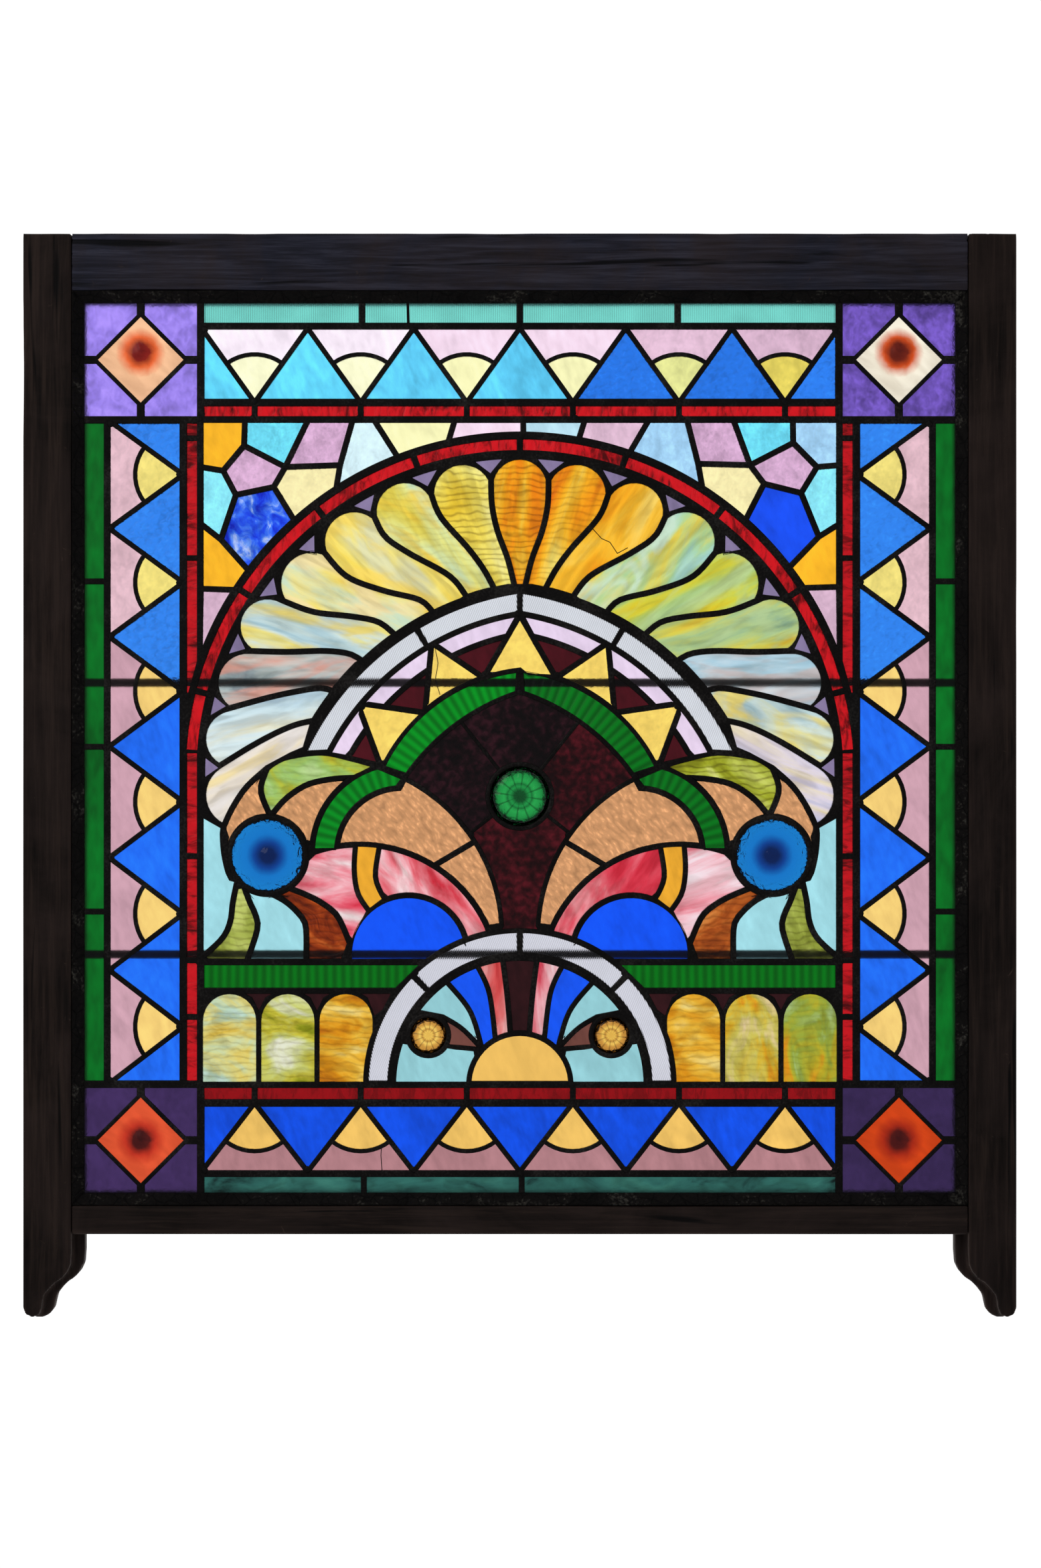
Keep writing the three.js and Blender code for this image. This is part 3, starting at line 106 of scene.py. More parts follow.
PANEL_Z = -TOP_RAIL_H - SIGHT_H
REBATE_Y = -SASH_T / 2 + REBATE_DEPTH
CAME_FRONT = REBATE_Y - 0.3 - CAME_DEPTH
GLASS_FRONT = CAME_FRONT + FLANGE_T + 0.2
GLASS_BACK = CAME_FRONT + CAME_DEPTH - FLANGE_T - 0.2
BAR_Y = REBATE_Y + 1 + BAR_D / 2


# Points and outlines

def place(x, z, y):
    return Vector((x / 1000, y / 1000, (z + PANEL_Z) / 1000))


def mirror(points):
    return [(-x, z) for x, z in reversed(points)]


def flip(round_at):
    return {**round_at, "x": -round_at["x"]}


def polar(cx, cz, r, deg):
    a = math.radians(deg)
    return (cx + r * math.cos(a), cz + r * math.sin(a))


def arc(cx, cz, r, from_deg, to_deg, step=STEP):
    n = max(1, round(abs(to_deg - from_deg) * math.pi * r / 180 / step))
    return [polar(cx, cz, r, from_deg + (to_deg - from_deg) * i / n) for i in range(n + 1)]


def arc_between(centre, a, b):
    cx, cz = centre["x"], centre["z"]
    r = math.hypot(a[0] - cx, a[1] - cz)
    start = math.degrees(math.atan2(a[1] - cz, a[0] - cx))
    turn = math.degrees(math.atan2(b[1] - cz, b[0] - cx)) - start
    turn -= 360 * round(turn / 360)
    return arc(cx, cz, r, start, start + turn)[:-1] + [b]


def arc_through(a, m, b):
    d = 2 * (a[0] * (m[1] - b[1]) + m[0] * (b[1] - a[1]) + b[0] * (a[1] - m[1]))
    a2, m2, b2 = (p[0] ** 2 + p[1] ** 2 for p in (a, m, b))
    cx = (a2 * (m[1] - b[1]) + m2 * (b[1] - a[1]) + b2 * (a[1] - m[1])) / d
    cz = (a2 * (b[0] - m[0]) + m2 * (a[0] - b[0]) + b2 * (m[0] - a[0])) / d
    angles = [math.degrees(math.atan2(p[1] - cz, p[0] - cx)) for p in (a, m, b)]
    turn = 0
    for start, end in zip(angles, angles[1:]):
        turn += end - start - 360 * round((end - start) / 360)
    return arc(cx, cz, math.hypot(a[0] - cx, a[1] - cz), angles[0], angles[0] + turn)


def sweep(points, step=STEP):
    """A smooth came line through a few points."""
    dense = []
    last = len(points) - 1
    for i in range(last):
        p = [Vector(points[max(0, min(last, k))]) for k in (i - 1, i, i + 1, i + 2)]
        v0, v1 = (p[2] - p[0]) / 2, (p[3] - p[1]) / 2
        for k in range(12):
            t = k / 12
            dense.append(p[1] * (2 * t ** 3 - 3 * t ** 2 + 1) + p[2] * (3 * t ** 2 - 2 * t ** 3)
                         + v0 * (t ** 3 - 2 * t ** 2 + t) + v1 * (t ** 3 - t ** 2))
    dense.append(Vector(points[-1]))
    length = sum((b - a).length for a, b in zip(dense, dense[1:]))
    n = max(2, round(length / step))
    line = [tuple(dense[0])]
    run = 0
    for a, b in zip(dense, dense[1:]):
        part = (b - a).length
        while len(line) < n and run + part >= length * len(line) / n:
            line.append(tuple(a.lerp(b, (length * len(line) / n - run) / part)))
        run += part
    return line + [tuple(dense[-1])]


def area(points):
    return sum(x * v - u * z for (x, z), (u, v) in zip(points, points[1:] + points[:1])) / 2


def counter_clockwise(points):
    return points if area(points) > 0 else points[::-1]


def clean(outline, least=0.45):
    """The outline without points that stand too close to the one before."""
    kept = []
    for point in outline:
        if not kept or math.dist(point, kept[-1]) > least:
            kept.append(point)
    if math.dist(kept[0], kept[-1]) <= least:
        kept.pop()
    return kept


def inset(outline, distance):
    """The outline moved in by a distance, with its sharp corners held back."""
    points = counter_clockwise(clean(outline))
    edges = []
    for (x, z), (u, v) in zip(points, points[1:] + points[:1]):
        length = math.hypot(u - x, v - z)
        dx, dz = (u - x) / length, (v - z) / length
        edges.append((x - dz * distance, z + dx * distance, dx, dz))
    moved = []
    for (x, z), p, e in zip(points, edges[-1:] + edges[:-1], edges):
        cross = p[2] * e[3] - p[3] * e[2]
        if abs(cross) < 0.02:
            moved.append((e[0], e[1]))
            continue
        t = ((e[0] - p[0]) * e[3] - (e[1] - p[1]) * e[2]) / cross
        mx, mz = p[0] + p[2] * t - x, p[1] + p[3] * t - z
        share = min(1, MITRE_LIMIT * abs(distance) / max(1e-6, math.hypot(mx, mz)))
        moved.append((x + mx * share, z + mz * share))
    return moved


def rect(x0, z0, x1, z1):
    return [(x0, z0), (x1, z0), (x1, z1), (x0, z1)]


def circle(at, step=3):
    return arc(at["x"], at["z"], at["r"], 0, 360, step)[:-1]


# Panes: the outline that shows, the solid it belongs to and its kind of glass
panes = []
SIDES = {-1: "left", 1: "right"}


def show(outline, node, look):
    panes.append({"outline": counter_clockwise(list(outline)), "node": node, "look": look})


def add_pane(outline, node, look, came=CAME_W):
    show(inset(outline, came / 2), node, look)


def show_pair(outline, node, look, look_right=None):
    """A pane of the left half, and its mirror image. {} in the node's name stands for the side."""
    show(outline, node.format("left"), look)
    show(mirror(outline), node.format("right"), look_right or look)


def add_pair(outline, node, look, look_right=None, came=CAME_W):
    show_pair(inset(outline, came / 2), node, look, look_right)


# Corner lights: four purple pieces round a square pane on its point
bullions = []
for side, side_name in SIDES.items():
    for level in ("bottom", "top"):
        low = level == "bottom"
        x_in = side * (CENTRE_HALF_W + MAIN_CAME_W / 2)
        z_in = CENTRE_BOTTOM - MAIN_CAME_W / 2 if low else CENTRE_TOP + MAIN_CAME_W / 2
        z_out = 0 if low else SIGHT_H
        cx, cz = (x_in + side * SIGHT_HALF_W) / 2, (z_in + z_out) / 2
        half = DIAMOND_HALF - DIAMOND_LAP
        diamond = [(cx + half, cz), (cx, cz + half), (cx - half, cz), (cx, cz - half)]
        bullions.append({"x": cx, "z": cz, "node": f"bullion_{level}_{side_name}", "outline": diamond})
        tie = DIAMOND_TIE_W / 2
        reach = DIAMOND_HALF + CAME_W * 0.7
        for corner_x in (x_in, side * SIGHT_HALF_W):
            for corner_z in (z_in, z_out):
                sx = math.copysign(1, corner_x - cx)
                sz = math.copysign(1, corner_z - cz)
                show([(cx + sx * tie, corner_z), (corner_x, corner_z), (corner_x, cz + sz * tie),
                      (cx + sx * (reach - tie), cz + sz * tie), (cx + sx * tie, cz + sz * (reach - tie))],
                     f"corner_glass_{level}_{side_name}", f"purple_{level}_{side_name}")


def add_run(ends, joints, outline_of, node, look):
    """A run of strips between two ends, parted at the joints."""
    cuts = [ends[0], *joints, ends[1]]
    for i in range(len(cuts) - 1):
        a = cuts[i] + (0 if i == 0 else CAME_W / 2)
        b = cuts[i + 1] - (0 if i + 2 == len(cuts) else CAME_W / 2)
        show(outline_of(a, b), node, look)


HALF_MAIN = MAIN_CAME_W / 2
across_ends = (-CENTRE_HALF_W + HALF_MAIN, CENTRE_HALF_W - HALF_MAIN)
add_run(across_ends, (-170, 0, 170), lambda a, b: rect(a, TOP_OUTER + HALF_MAIN, b, SIGHT_H),
        "border_top", "aqua_strip_top")
add_run(across_ends, (-168, 2), lambda a, b: rect(a, 0, b, BOTTOM_OUTER - HALF_MAIN),
        "border_bottom", "aqua_strip_bottom")
SIDE_JOINTS = (0.26, 0.508, 0.757)
side_joints = [CENTRE_BOTTOM + t * (CENTRE_TOP - CENTRE_BOTTOM) for t in SIDE_JOINTS]
for side, side_name in SIDES.items():
    add_run((CENTRE_BOTTOM + HALF_MAIN, CENTRE_TOP - HALF_MAIN), side_joints,
            lambda a, b, s=side: rect(s * (SIDE_OUTER + HALF_MAIN), a, s * SIGHT_HALF_W, b),
            f"border_{side_name}", "green_strip")


def add_wedge_band(length, depth, along, node, tone_of):
    """A zigzag of cames between an outer and an inner line, with a wedge at each inner point."""
    step = length / (2 * WEDGES)
    reach = math.hypot(step, depth)
    dx, dz = WEDGE_ARC_R * step / reach, WEDGE_ARC_R * depth / reach
    for i in range(WEDGES):
        tip = (2 * i + 1) * step
        curve = arc_through((tip - dx, depth - dz), (tip, depth - WEDGE_ARC_R), (tip + dx, depth - dz))
        tone = tone_of(tip / length)
        add_pane([along(s, d) for s, d in [(tip, depth), *curve]], node, f"yellow_{tone}", FINE_CAME_W)
        cap = [(2 * i * step, 0), *curve, (2 * (i + 1) * step, 0)]
        add_pane([along(s, d) for s, d in cap], node, f"pink_{tone}", FINE_CAME_W)
    for i in range(WEDGES + 1):
        apex = 2 * i * step
        corners = [(apex, 0), (min(length, apex + step), depth), (max(0, apex - step), depth)]
        add_pane([along(s, d) for s, d in corners], node, f"blue_{tone_of(apex / length)}")


ACROSS = 2 * (CENTRE_HALF_W - BAND_INSET)
UPRIGHT = CENTRE_TOP - CENTRE_BOTTOM - 2 * BAND_INSET
LEFT_X = -CENTRE_HALF_W + BAND_INSET
# The tones change along a band, as if its glass came from several sheets
add_wedge_band(ACROSS, TOP_OUTER - TOP_INNER - 2 * BAND_INSET,
               lambda s, d: (LEFT_X + s, TOP_OUTER - BAND_INSET - d),
               "border_top", lambda t: min(3, int(t * 3.4)))
add_wedge_band(ACROSS, BOTTOM_INNER - BOTTOM_OUTER - 2 * BAND_INSET,
               lambda s, d: (LEFT_X + s, BOTTOM_OUTER + BAND_INSET + d), "border_bottom", lambda t: 5)
for side, side_name in SIDES.items():
    add_wedge_band(
        UPRIGHT, SIDE_OUTER - SIDE_INNER - 2 * BAND_INSET,
        lambda s, d, side=side: (side * (SIDE_OUTER - BAND_INSET - d), CENTRE_BOTTOM + BAND_INSET + s
                                 + ZIGZAG_BOW * math.sin(math.pi * s / UPRIGHT)),
        f"border_{side_name}", lambda t: 4 if t < 0.6 else 6)

# Red strips: across the top and bottom, up the sides and over the arch
red_joints = [LEFT_X + (2 * i + 1) * ACROSS / (2 * WEDGES) for i in range(WEDGES)]
add_run(across_ends, red_joints, lambda a, b: rect(a, CENTRE_TOP + HALF_MAIN, b, TOP_INNER - HALF_MAIN),
        "red_strip_top", "red")
add_run(across_ends, red_joints,
        lambda a, b: rect(a, BOTTOM_INNER + HALF_MAIN, b, CENTRE_BOTTOM - HALF_MAIN),
        "red_strip_bottom", "red_dark")
RED_OUT = SIDE_INNER - HALF_MAIN
RED_IN = CENTRE_HALF_W + HALF_MAIN
RED_LOWER_JOINTS = (189, 250, 362)
RED_UPPER_JOINTS = (683, 812)
RED_JOINT_HALF = 3
# Above the arch, the strip's lowest piece is cut to the arch's slope
RED_SLOPE = {"inner": 572, "outer": 534}
for side, side_name in SIDES.items():
    add_run((CENTRE_BOTTOM + HALF_MAIN, RED_ARCH_FOOT - CAME_W / 2), RED_LOWER_JOINTS,
            lambda a, b, s=side: rect(s * RED_IN, a, s * RED_OUT, b), "red_arch", "red_across")
    upper = f"red_strip_upper_{side_name}"
    low, high = RED_UPPER_JOINTS
    x_in, x_out = side * RED_IN, side * RED_OUT
    show(rect(x_in, high + RED_JOINT_HALF, x_out, CENTRE_TOP - HALF_MAIN), upper, "red_across")
    show(rect(x_in, low + RED_JOINT_HALF, x_out, high - RED_JOINT_HALF), upper, "red_across")
    show([(x_in, low - RED_JOINT_HALF), (x_in, RED_SLOPE["inner"]), (x_out, RED_SLOPE["outer"]),
          (x_out, low - RED_JOINT_HALF)], upper, "red_across")
arch_foot = math.degrees(math.asin((RED_ARCH_FOOT - ARCH_Z) / ARCH_INNER_R))
arch_joints = [arch_foot, 14.3, 33.3, 52.6, 71.5, 90, 108.5, 127.4, 146.7, 165.7, 180 - arch_foot]
JOINT_DEG = 0.55
for i in range(len(arch_joints) - 1):
    a = arch_joints[i] + (0 if i == 0 else JOINT_DEG)
    b = arch_joints[i + 1] - (0 if i + 2 == len(arch_joints) else JOINT_DEG)
    show(arc(0, ARCH_Z, ARCH_OUTER_R - ARCH_LIP["outer"], a, b)
         + arc(0, ARCH_Z, ARCH_INNER_R + ARCH_LIP["inner"], b, a), "red_arch", "red")


# Spandrel mosaics. On the arch, a point is given by its angle from the top of the arch.
def along_arch(from_deg, to_deg):
    return arc(0, ARCH_Z, ARCH_OUTER_R + 1, 90 + from_deg, 90 + to_deg)


T, W, E = CENTRE_TOP, -CENTRE_HALF_W, CENTRE_HALF_W
top_middle = (3.6, T)
left_mosaic = [
    ("amber", [(W, T), (-296, T), (-297, 804), (-319.5, 777), (W, 781)]),
    ("cyan", [(-296, T), (-228, T), (-252.6, 781), (-297, 804)]),
    ("mauve", [(-297, 804), (-252.6, 781), (-265, 759.5), (-305.8, 751), (-319.5, 777)]),
    ("cyan_light", [(W, 781), (-319.5, 777), (-305.8, 751), (-322, 703), (W, 720)]),
    ("cobalt_swirl", [(-305.8, 751), (-265, 759.5), *along_arch(41.7, 53.2), (-322, 703)]),
    ("cream", [(-252.6, 781), (-193.6, 783), *along_arch(32.8, 41.7), (-265, 759.5)]),
    ("mauve", [(-228, T), (-180, T), (-193.6, 783), (-252.6, 781)]),
    ("pale_blue", [(-180, T), (-157, T), *along_arch(21.1, 32.8), (-193.6, 783)]),
    ("yellow_1", [(-157, T), (-70, T), *along_arch(12.2, 21.1)]),
    ("pink_1", [(-70, T), top_middle, *along_arch(-0.6, 12.2)]),
    ("amber", [(W, 720), (-322, 703), *along_arch(53.2, 57.2), (W, 650)]),
    ("pink_3", [(W, 650), *along_arch(57.2, 70.3)]),
]
right_mosaic = [
    ("sky", [top_middle, (70, T), *along_arch(-10, -0.6)]),
    ("pink_2", [(70, T), (139, T), *along_arch(-18.9, -10)]),
    ("powder_blue", [(139, T), (180, T), (192, 784.5), *along_arch(-32.6, -18.9)]),
    ("mauve", [(180, T), (230, T), (248, 783), (192, 784.5)]),
    ("cyan", [(230, T), (294, T), (294.4, 807), (248, 783)]),
    ("powder_blue", [(294, T), (E, T), (E, 783), (320, 781), (294.4, 807)]),
    ("cream", [(192, 784.5), (248, 783), (263, 763), *along_arch(-41.7, -32.6)]),
    ("mauve", [(248, 783), (294.4, 807), (320, 781), (303, 753), (263, 763)]),
    ("cyan_light", [(320, 781), (E, 783), (E, 719.5), (322, 706), (303, 753)]),
    ("cobalt", [(263, 763), (303, 753), (322, 706), *along_arch(-52.6, -41.7)]),
    ("amber", [(E, 719.5), (E, 652), *along_arch(-56.8, -52.6), (322, 706)]),
    ("pink_3", [(E, 652), *along_arch(-70.3, -56.8)]),
]
for node, mosaic in (("mosaic_left", left_mosaic), ("mosaic_right", right_mosaic)):
    for look, outline in mosaic:
        add_pane(outline, node, look)


# The pointed arches: a point on the left side of a lancet, by its angle at the lancet's centre
def lancet_arc(lancet, r, a, b):
    return arc(lancet["x"], lancet["z"], r, a, b)


def lancet_top(lancet, r):
    return math.degrees(math.acos(-lancet["x"] / r))


WHITE_FOOT = 154.6
WHITE_INNER_FOOT = 152.6

# Petals: the cames between them, from the arch to the white lancet, left of the centre line
petal_cames = [sweep(points) for points in (
    [(-31, 768), (-30, 740), (-24, 712), (-13, 682), (-5.5, 652)],
    [(-95.5, 752), (-85, 727), (-56, 694), (-39, 671), (-27, 649)],
    [(-157, 728), (-145, 706), (-119, 688), (-76, 664), (-57, 641)],
    [(-211, 689.5), (-186, 663), (-147, 648), (-108, 638), (-93, 624)],
    [(-255, 637), (-222, 625), (-180, 620), (-152, 614), (-134, 600)],
    [(-290, 583), (-252, 582), (-210, 583), (-184, 580), (-169, 572)],
    [(-314, 521), (-270, 533), (-237, 540), (-215, 543), (-201, 540)],
    [(-324, 459), (-290, 480), (-262, 495), (-240, 504), (-222, 508)],
)]
petal_caps = [(0, 792), (-66, 786), (-128, 766.5), (-184, 735), (-238, 689), (-298, 628), (-325, 562),
              (-340.5, 494)]
left_petals = ["petal_orange", "petal_olive", "petal_citron", "petal_pearl", "petal_cream", "petal_blue",
               "petal_rose", "petal_white", "petal_shell"]
right_petals = ["petal_orange", "petal_amber", "petal_gold", "petal_mint", "petal_lime", "petal_sea",
                "petal_ice", "petal_blue", "petal_lilac"]
first = petal_cames[0]
add_pane(arc_through((-first[0][0], first[0][1]), petal_caps[0], first[0]) + first[1:] + mirror(first[1:]),
         "petal_fan", left_petals[0])
for i in range(1, len(petal_cames)):
    inner, outer = petal_cames[i - 1], petal_cames[i]
    add_pair(arc_through(inner[0], petal_caps[i], outer[0]) + outer[1:]
             + arc_between(WHITE_LANCET, outer[-1], inner[-1])[1:-1] + inner[:0:-1],
             "petal_fan", left_petals[i], right_petals[i])
last_came = petal_cames[-1]
white_end = polar(WHITE_LANCET["x"], WHITE_LANCET["z"], WHITE_LANCET["outer"], WHITE_FOOT)
leaf_start = (-272, 457)
petal_floor = sweep([(-319, 394), (-309, 415), (-294, 437), leaf_start])
leaf_top = sweep([leaf_start, (-253, 468), (-214, 473.5), (-181, 467), (-152, 459)])
add_pair(arc_through(last_came[0], (-341, 429), (-319, 394)) + petal_floor[1:] + [(-246, 471), white_end]
         + last_came[:0:-1], "petal_fan", left_petals[8], right_petals[8])
# Small spandrels between the petals' caps and the arch
SPANDREL_DEPTH = 14
for a, b, tip in ((3.3, 8.1, 5.6), (15.3, 20, 17.8), (27.6, 31.8, 29.7), (40.8, 44.6, 42.9),
                  (51.5, 55.8, 53.6), (63.6, 67.6, 65.6), (75.9, 79.3, 77.1), (87.2, 90.6, 88.9)):
    rim = ARCH_INNER_R - 5.5
    show_pair([*arc(0, ARCH_Z, rim, 90 + a, 90 + b), polar(0, ARCH_Z, rim - SPANDREL_DEPTH, 90 + tip)],
              "petal_fan", "spandrel")

# White lancet: two pieces a side
WHITE_SPLIT = 120.8
white_outer = WHITE_LANCET["outer"] - CAME_W / 2
white_inner = WHITE_LANCET["inner"] + CAME_W / 2
for (a0, a1), (b0, b1) in (
        ((lancet_top(WHITE_LANCET, white_outer) + 0.6, lancet_top(WHITE_LANCET, white_inner) + 0.6),
         (WHITE_SPLIT - 0.6, WHITE_SPLIT - 0.6)),
        ((WHITE_SPLIT + 0.6, WHITE_SPLIT + 0.6), (WHITE_FOOT, WHITE_INNER_FOOT))):
    show_pair(lancet_arc(WHITE_LANCET, white_outer, a0, b0) + lancet_arc(WHITE_LANCET, white_inner, b1, a1),
              "white_lancet", "white_reeded")

# Five star points on the green lancet, lilac pieces outside them and maroon between
star_tips = [(0, 622), (-95, 592), (-175, 527)]
star_feet = [(-39, 554), (-102, 516.5), (-150, 459.4)]
green_apex = (0, 562)
green_line = partial(arc_between, GREEN_LANCET)
lilac_arc = partial(lancet_arc, WHITE_LANCET, LILAC_INNER_R)
white_edge = partial(lancet_arc, WHITE_LANCET, WHITE_LANCET["inner"])
add_pane([star_tips[0], *green_line((39, 554), green_apex), *green_line(green_apex, star_feet[0])[1:]],
         "star_band", "star")
add_pair([star_tips[1], *green_line(star_feet[0], star_feet[1])], "star_band", "star")
add_pair([star_tips[2], *green_line(star_feet[1], star_feet[2])], "star_band", "star")
leaf_foot = (-187, 468)
add_pair([*white_edge(99, 119.4)[:-1], star_tips[1], *lilac_arc(117, 102.8)], "star_band", "lilac")
add_pair([*white_edge(119.4, 140.4)[1:-1], star_tips[2], *lilac_arc(137.1, 123.2), star_tips[1]],
         "star_band", "lilac")
add_pair([star_tips[2], *white_edge(140.4, 153.5)[1:], leaf_foot, *lilac_arc(150.5, 143.8)],
         "star_band", "lilac")
add_pair([*lilac_arc(102.8, 117), star_feet[0]], "star_band", "maroon")
add_pair([*lilac_arc(123.2, 137.1), star_feet[1]], "star_band", "maroon")
add_pair([*lilac_arc(143.8, 150.5), leaf_foot, star_feet[2]], "star_band", "maroon")

# Green lancet and its lower arms
show_pair(lancet_arc(GREEN_LANCET, GREEN_LANCET["outer"] - CAME_W / 2,
                     lancet_top(GREEN_LANCET, GREEN_LANCET["outer"]) + 1.4, 153.5)
          + lancet_arc(GREEN_INNER, GREEN_INNER["r"] + CAME_W / 2, 144.6,
                       lancet_top(GREEN_INNER, GREEN_INNER["r"]) + 1.1),
          "green_lancet", "green_arch_left", "green_arch_right")
show_pair(arc(GREEN_ARM["x"], GREEN_ARM["z"], GREEN_ARM["outer"] - CAME_W / 2, 106, 177)
          + arc(GREEN_ARM["x"], GREEN_ARM["z"], GREEN_ARM["inner"] + CAME_W / 2, 176, 95) + [(-128.6, 445)],
          "motif_{}", "green_arm_left", "green_arm_right")

# Dark field round the jewel
on_field = partial(polar, FIELD_ARC["x"], FIELD_ARC["z"], FIELD_ARC["r"])
ring_arc = partial(arc, JEWEL["x"], JEWEL["z"], JEWEL["r"] + RING_W / 2, step=FINE_STEP)
half_round_arc = partial(arc, 0, SUN_Z, HALF_ROUND["outer"])
field_shoulder = (-124, 446)
field_waist, salmon_split, field_foot = on_field(35.5), on_field(32.4), on_field(3)
tie_top = polar(GREEN_INNER["x"], GREEN_INNER["z"], GREEN_INNER["r"], 125)
upper_side = arc_between(GREEN_INNER, (0, 538.3), tie_top)
add_pane([*upper_side, *ring_arc(128, 52), *mirror(upper_side[1:])], "centre_field", "field_dark", 4)
add_pair([*arc_between(GREEN_INNER, tie_top, field_shoulder),
          *arc_between(FIELD_ARC, field_shoulder, field_waist)[1:], *ring_arc(215, 128)],
         "centre_field", "field_dark", "field_right", came=4)
lower_side = arc_between(FIELD_ARC, field_waist, field_foot)
add_pane([*lower_side, *half_round_arc(97.8, 82.2), *mirror(lower_side), *ring_arc(-35, -145)],
         "centre_field", "field", 4)

# Left motif, mirrored to the right
RONDEL_RING_R = RONDEL["r"] + RING_W / 2 + 0.6
MOTIF_ARC = {"x": -172.6, "z": 223.6, "r": 151}
DOME = {"x": -120, "z": 256, "r": 64}
on_rondel = partial(polar, RONDEL["x"], RONDEL["z"], RONDEL_RING_R)
rondel_arc = partial(arc, RONDEL["x"], RONDEL["z"], RONDEL_RING_R, step=FINE_STEP)
on_motif = partial(polar, MOTIF_ARC["x"], MOTIF_ARC["z"], MOTIF_ARC["r"])
motif_line = partial(arc, MOTIF_ARC["x"], MOTIF_ARC["z"], MOTIF_ARC["r"])
dome_line = partial(arc, DOME["x"], DOME["z"], DOME["r"])


def arm_line(edge, a, b):
    return arc(GREEN_ARM["x"], GREEN_ARM["z"], GREEN_ARM[edge], a, b)


leaf_side = sweep([leaf_start, (-279, 433), on_rondel(86)])
leaf_floor = sweep([on_rondel(86), (-252, 424), (-229, 439), (-203, 445), (-178, 446.5)])
pink_side = sweep([on_motif(91.5), (-178, 347), (-174, 322), (-162, 303)])
gold_side = sweep([on_motif(82), (-156, 343), (-152, 327), (-145.5, 315.5)])
brown_top = sweep([on_rondel(-57), (-229, 320), (-212, 311), (-196, 297), (-183, 268)])
brown_side = sweep([on_rondel(-84), (-252, 313), (-238, 300), (-230.5, 286), (-230, BAND_TOP)])
leaflet_right = sweep([on_rondel(-128), (-291, 313), (-284, 297), (-283, 282), (-294, BAND_TOP)])
leaflet_left = sweep([on_rondel(-141), (-309, 313), (-312, 291), (-321, 273), (W, 252)])
aqua_side = sweep([(-319, 394), (-320, 384), (-318, 362), (-312, 340), on_rondel(-141)])
MOTIF = "motif_{}"
add_pair([*leaf_side, *leaf_floor[1:], *leaf_top[:0:-1]], MOTIF, "leaf_left", "leaf_right")
add_pair([*rondel_arc(168, 86), *leaf_side[-2::-1], *petal_floor[-2::-1], (-319, 390)], MOTIF, "salmon")
add_pair([*leaf_floor, *arm_line("outer", 122, 175)[1:], *rondel_arc(20, 86)[:-1]], MOTIF, "salmon")
add_pair([*arm_line("inner", 174.3, 92), *arc_between(FIELD_ARC, field_shoulder, salmon_split),
          *motif_line(58, 99.3)], MOTIF, "salmon")
add_pair([*arc_between(FIELD_ARC, salmon_split, field_foot), *motif_line(24, 58)], MOTIF, "salmon")
add_pair([*motif_line(109, 91.5), *pink_side[1:], (-180, 268), *brown_top[-2::-1], *rondel_arc(-57, -6)],
         MOTIF, "opal_pink", "opal_white")
add_pair([*motif_line(91.5, 82), *gold_side[1:], *pink_side[:0:-1]], MOTIF, "gold", came=5)
add_pair([*motif_line(82, 24), *half_round_arc(101.6, 110.3), *dome_line(17, 111), *gold_side[-2::-1]],
         MOTIF, "opal_red", "opal_rose")
add_pair([*dome_line(17, 187), *half_round_arc(127.3, 110.3)], MOTIF, "dome_blue")
add_pair([*brown_top, (-190, BAND_TOP), *brown_side[:0:-1], *rondel_arc(-84, -57)[:-1]], MOTIF, "brown",
         "brown_right")
add_pair([*brown_side, *leaflet_right[:0:-1], *rondel_arc(-128, -84)[:-1]], MOTIF, "aqua")
add_pair([*leaflet_right, (-336, BAND_TOP), *leaflet_left[:0:-1], *rondel_arc(-141, -128)[:-1]],
         MOTIF, "leaflet")
add_pair([(W, 408), *aqua_side, *leaflet_left[1:]], MOTIF, "aqua")


# Green bands and round-headed lights, beside the half-round
def band_end(z):
    return -math.sqrt(HALF_ROUND["outer"] ** 2 - (z - SUN_Z) ** 2)


LIGHTS = "lower_lights_{}"
LIGHT_EDGES = (-344, -281.2, -218.5)
LIGHT_SPRING = 185
LIGHT_HEAD = 31.4


def round_head(x):
    return arc(x + LIGHT_HEAD, LIGHT_SPRING, LIGHT_HEAD, 180, 0)


add_pair([(W, BAND_TOP), (band_end(BAND_TOP) + 1, BAND_TOP), (band_end(BAND_BOTTOM), BAND_BOTTOM),
          (W, BAND_BOTTOM)], LIGHTS, "green_band", came=MAIN_CAME_W)
for x, looks in zip(LIGHT_EDGES[:2], (("light_pale", "light_citron"), ("light_green", "light_flame"))):
    add_pair([(x, CENTRE_BOTTOM), *round_head(x), (x + 2 * LIGHT_HEAD, CENTRE_BOTTOM)], LIGHTS, *looks,
             came=5.6)
add_pair([(-218.5, CENTRE_BOTTOM), *round_head(-218.5), (-156, 172), *half_round_arc(161, 180)[1:]],
         LIGHTS, "light_amber", came=5.6)
for x in LIGHT_EDGES[1:]:
    add_pair([(x - 24, BAND_BOTTOM), (x + 24, BAND_BOTTOM), (x + 9, 208), (x, 190), (x - 9, 208)],
             LIGHTS, "maroon_deep", came=5.4)
add_pair([(-180, BAND_BOTTOM), (band_end(BAND_BOTTOM) - 2, BAND_BOTTOM), (-146, 195), (-158, 186),
          (-166, 208)], LIGHTS, "maroon_deep", came=5.4)

# Half-round: white band, rays, leaves, small jewels and the sun
HALF_FLOOR = CENTRE_BOTTOM + HALF_MAIN


def half_round_band(edge, way, a, b):
    return arc(0, SUN_Z, HALF_ROUND[edge] + way * CAME_W / 2, a, b)


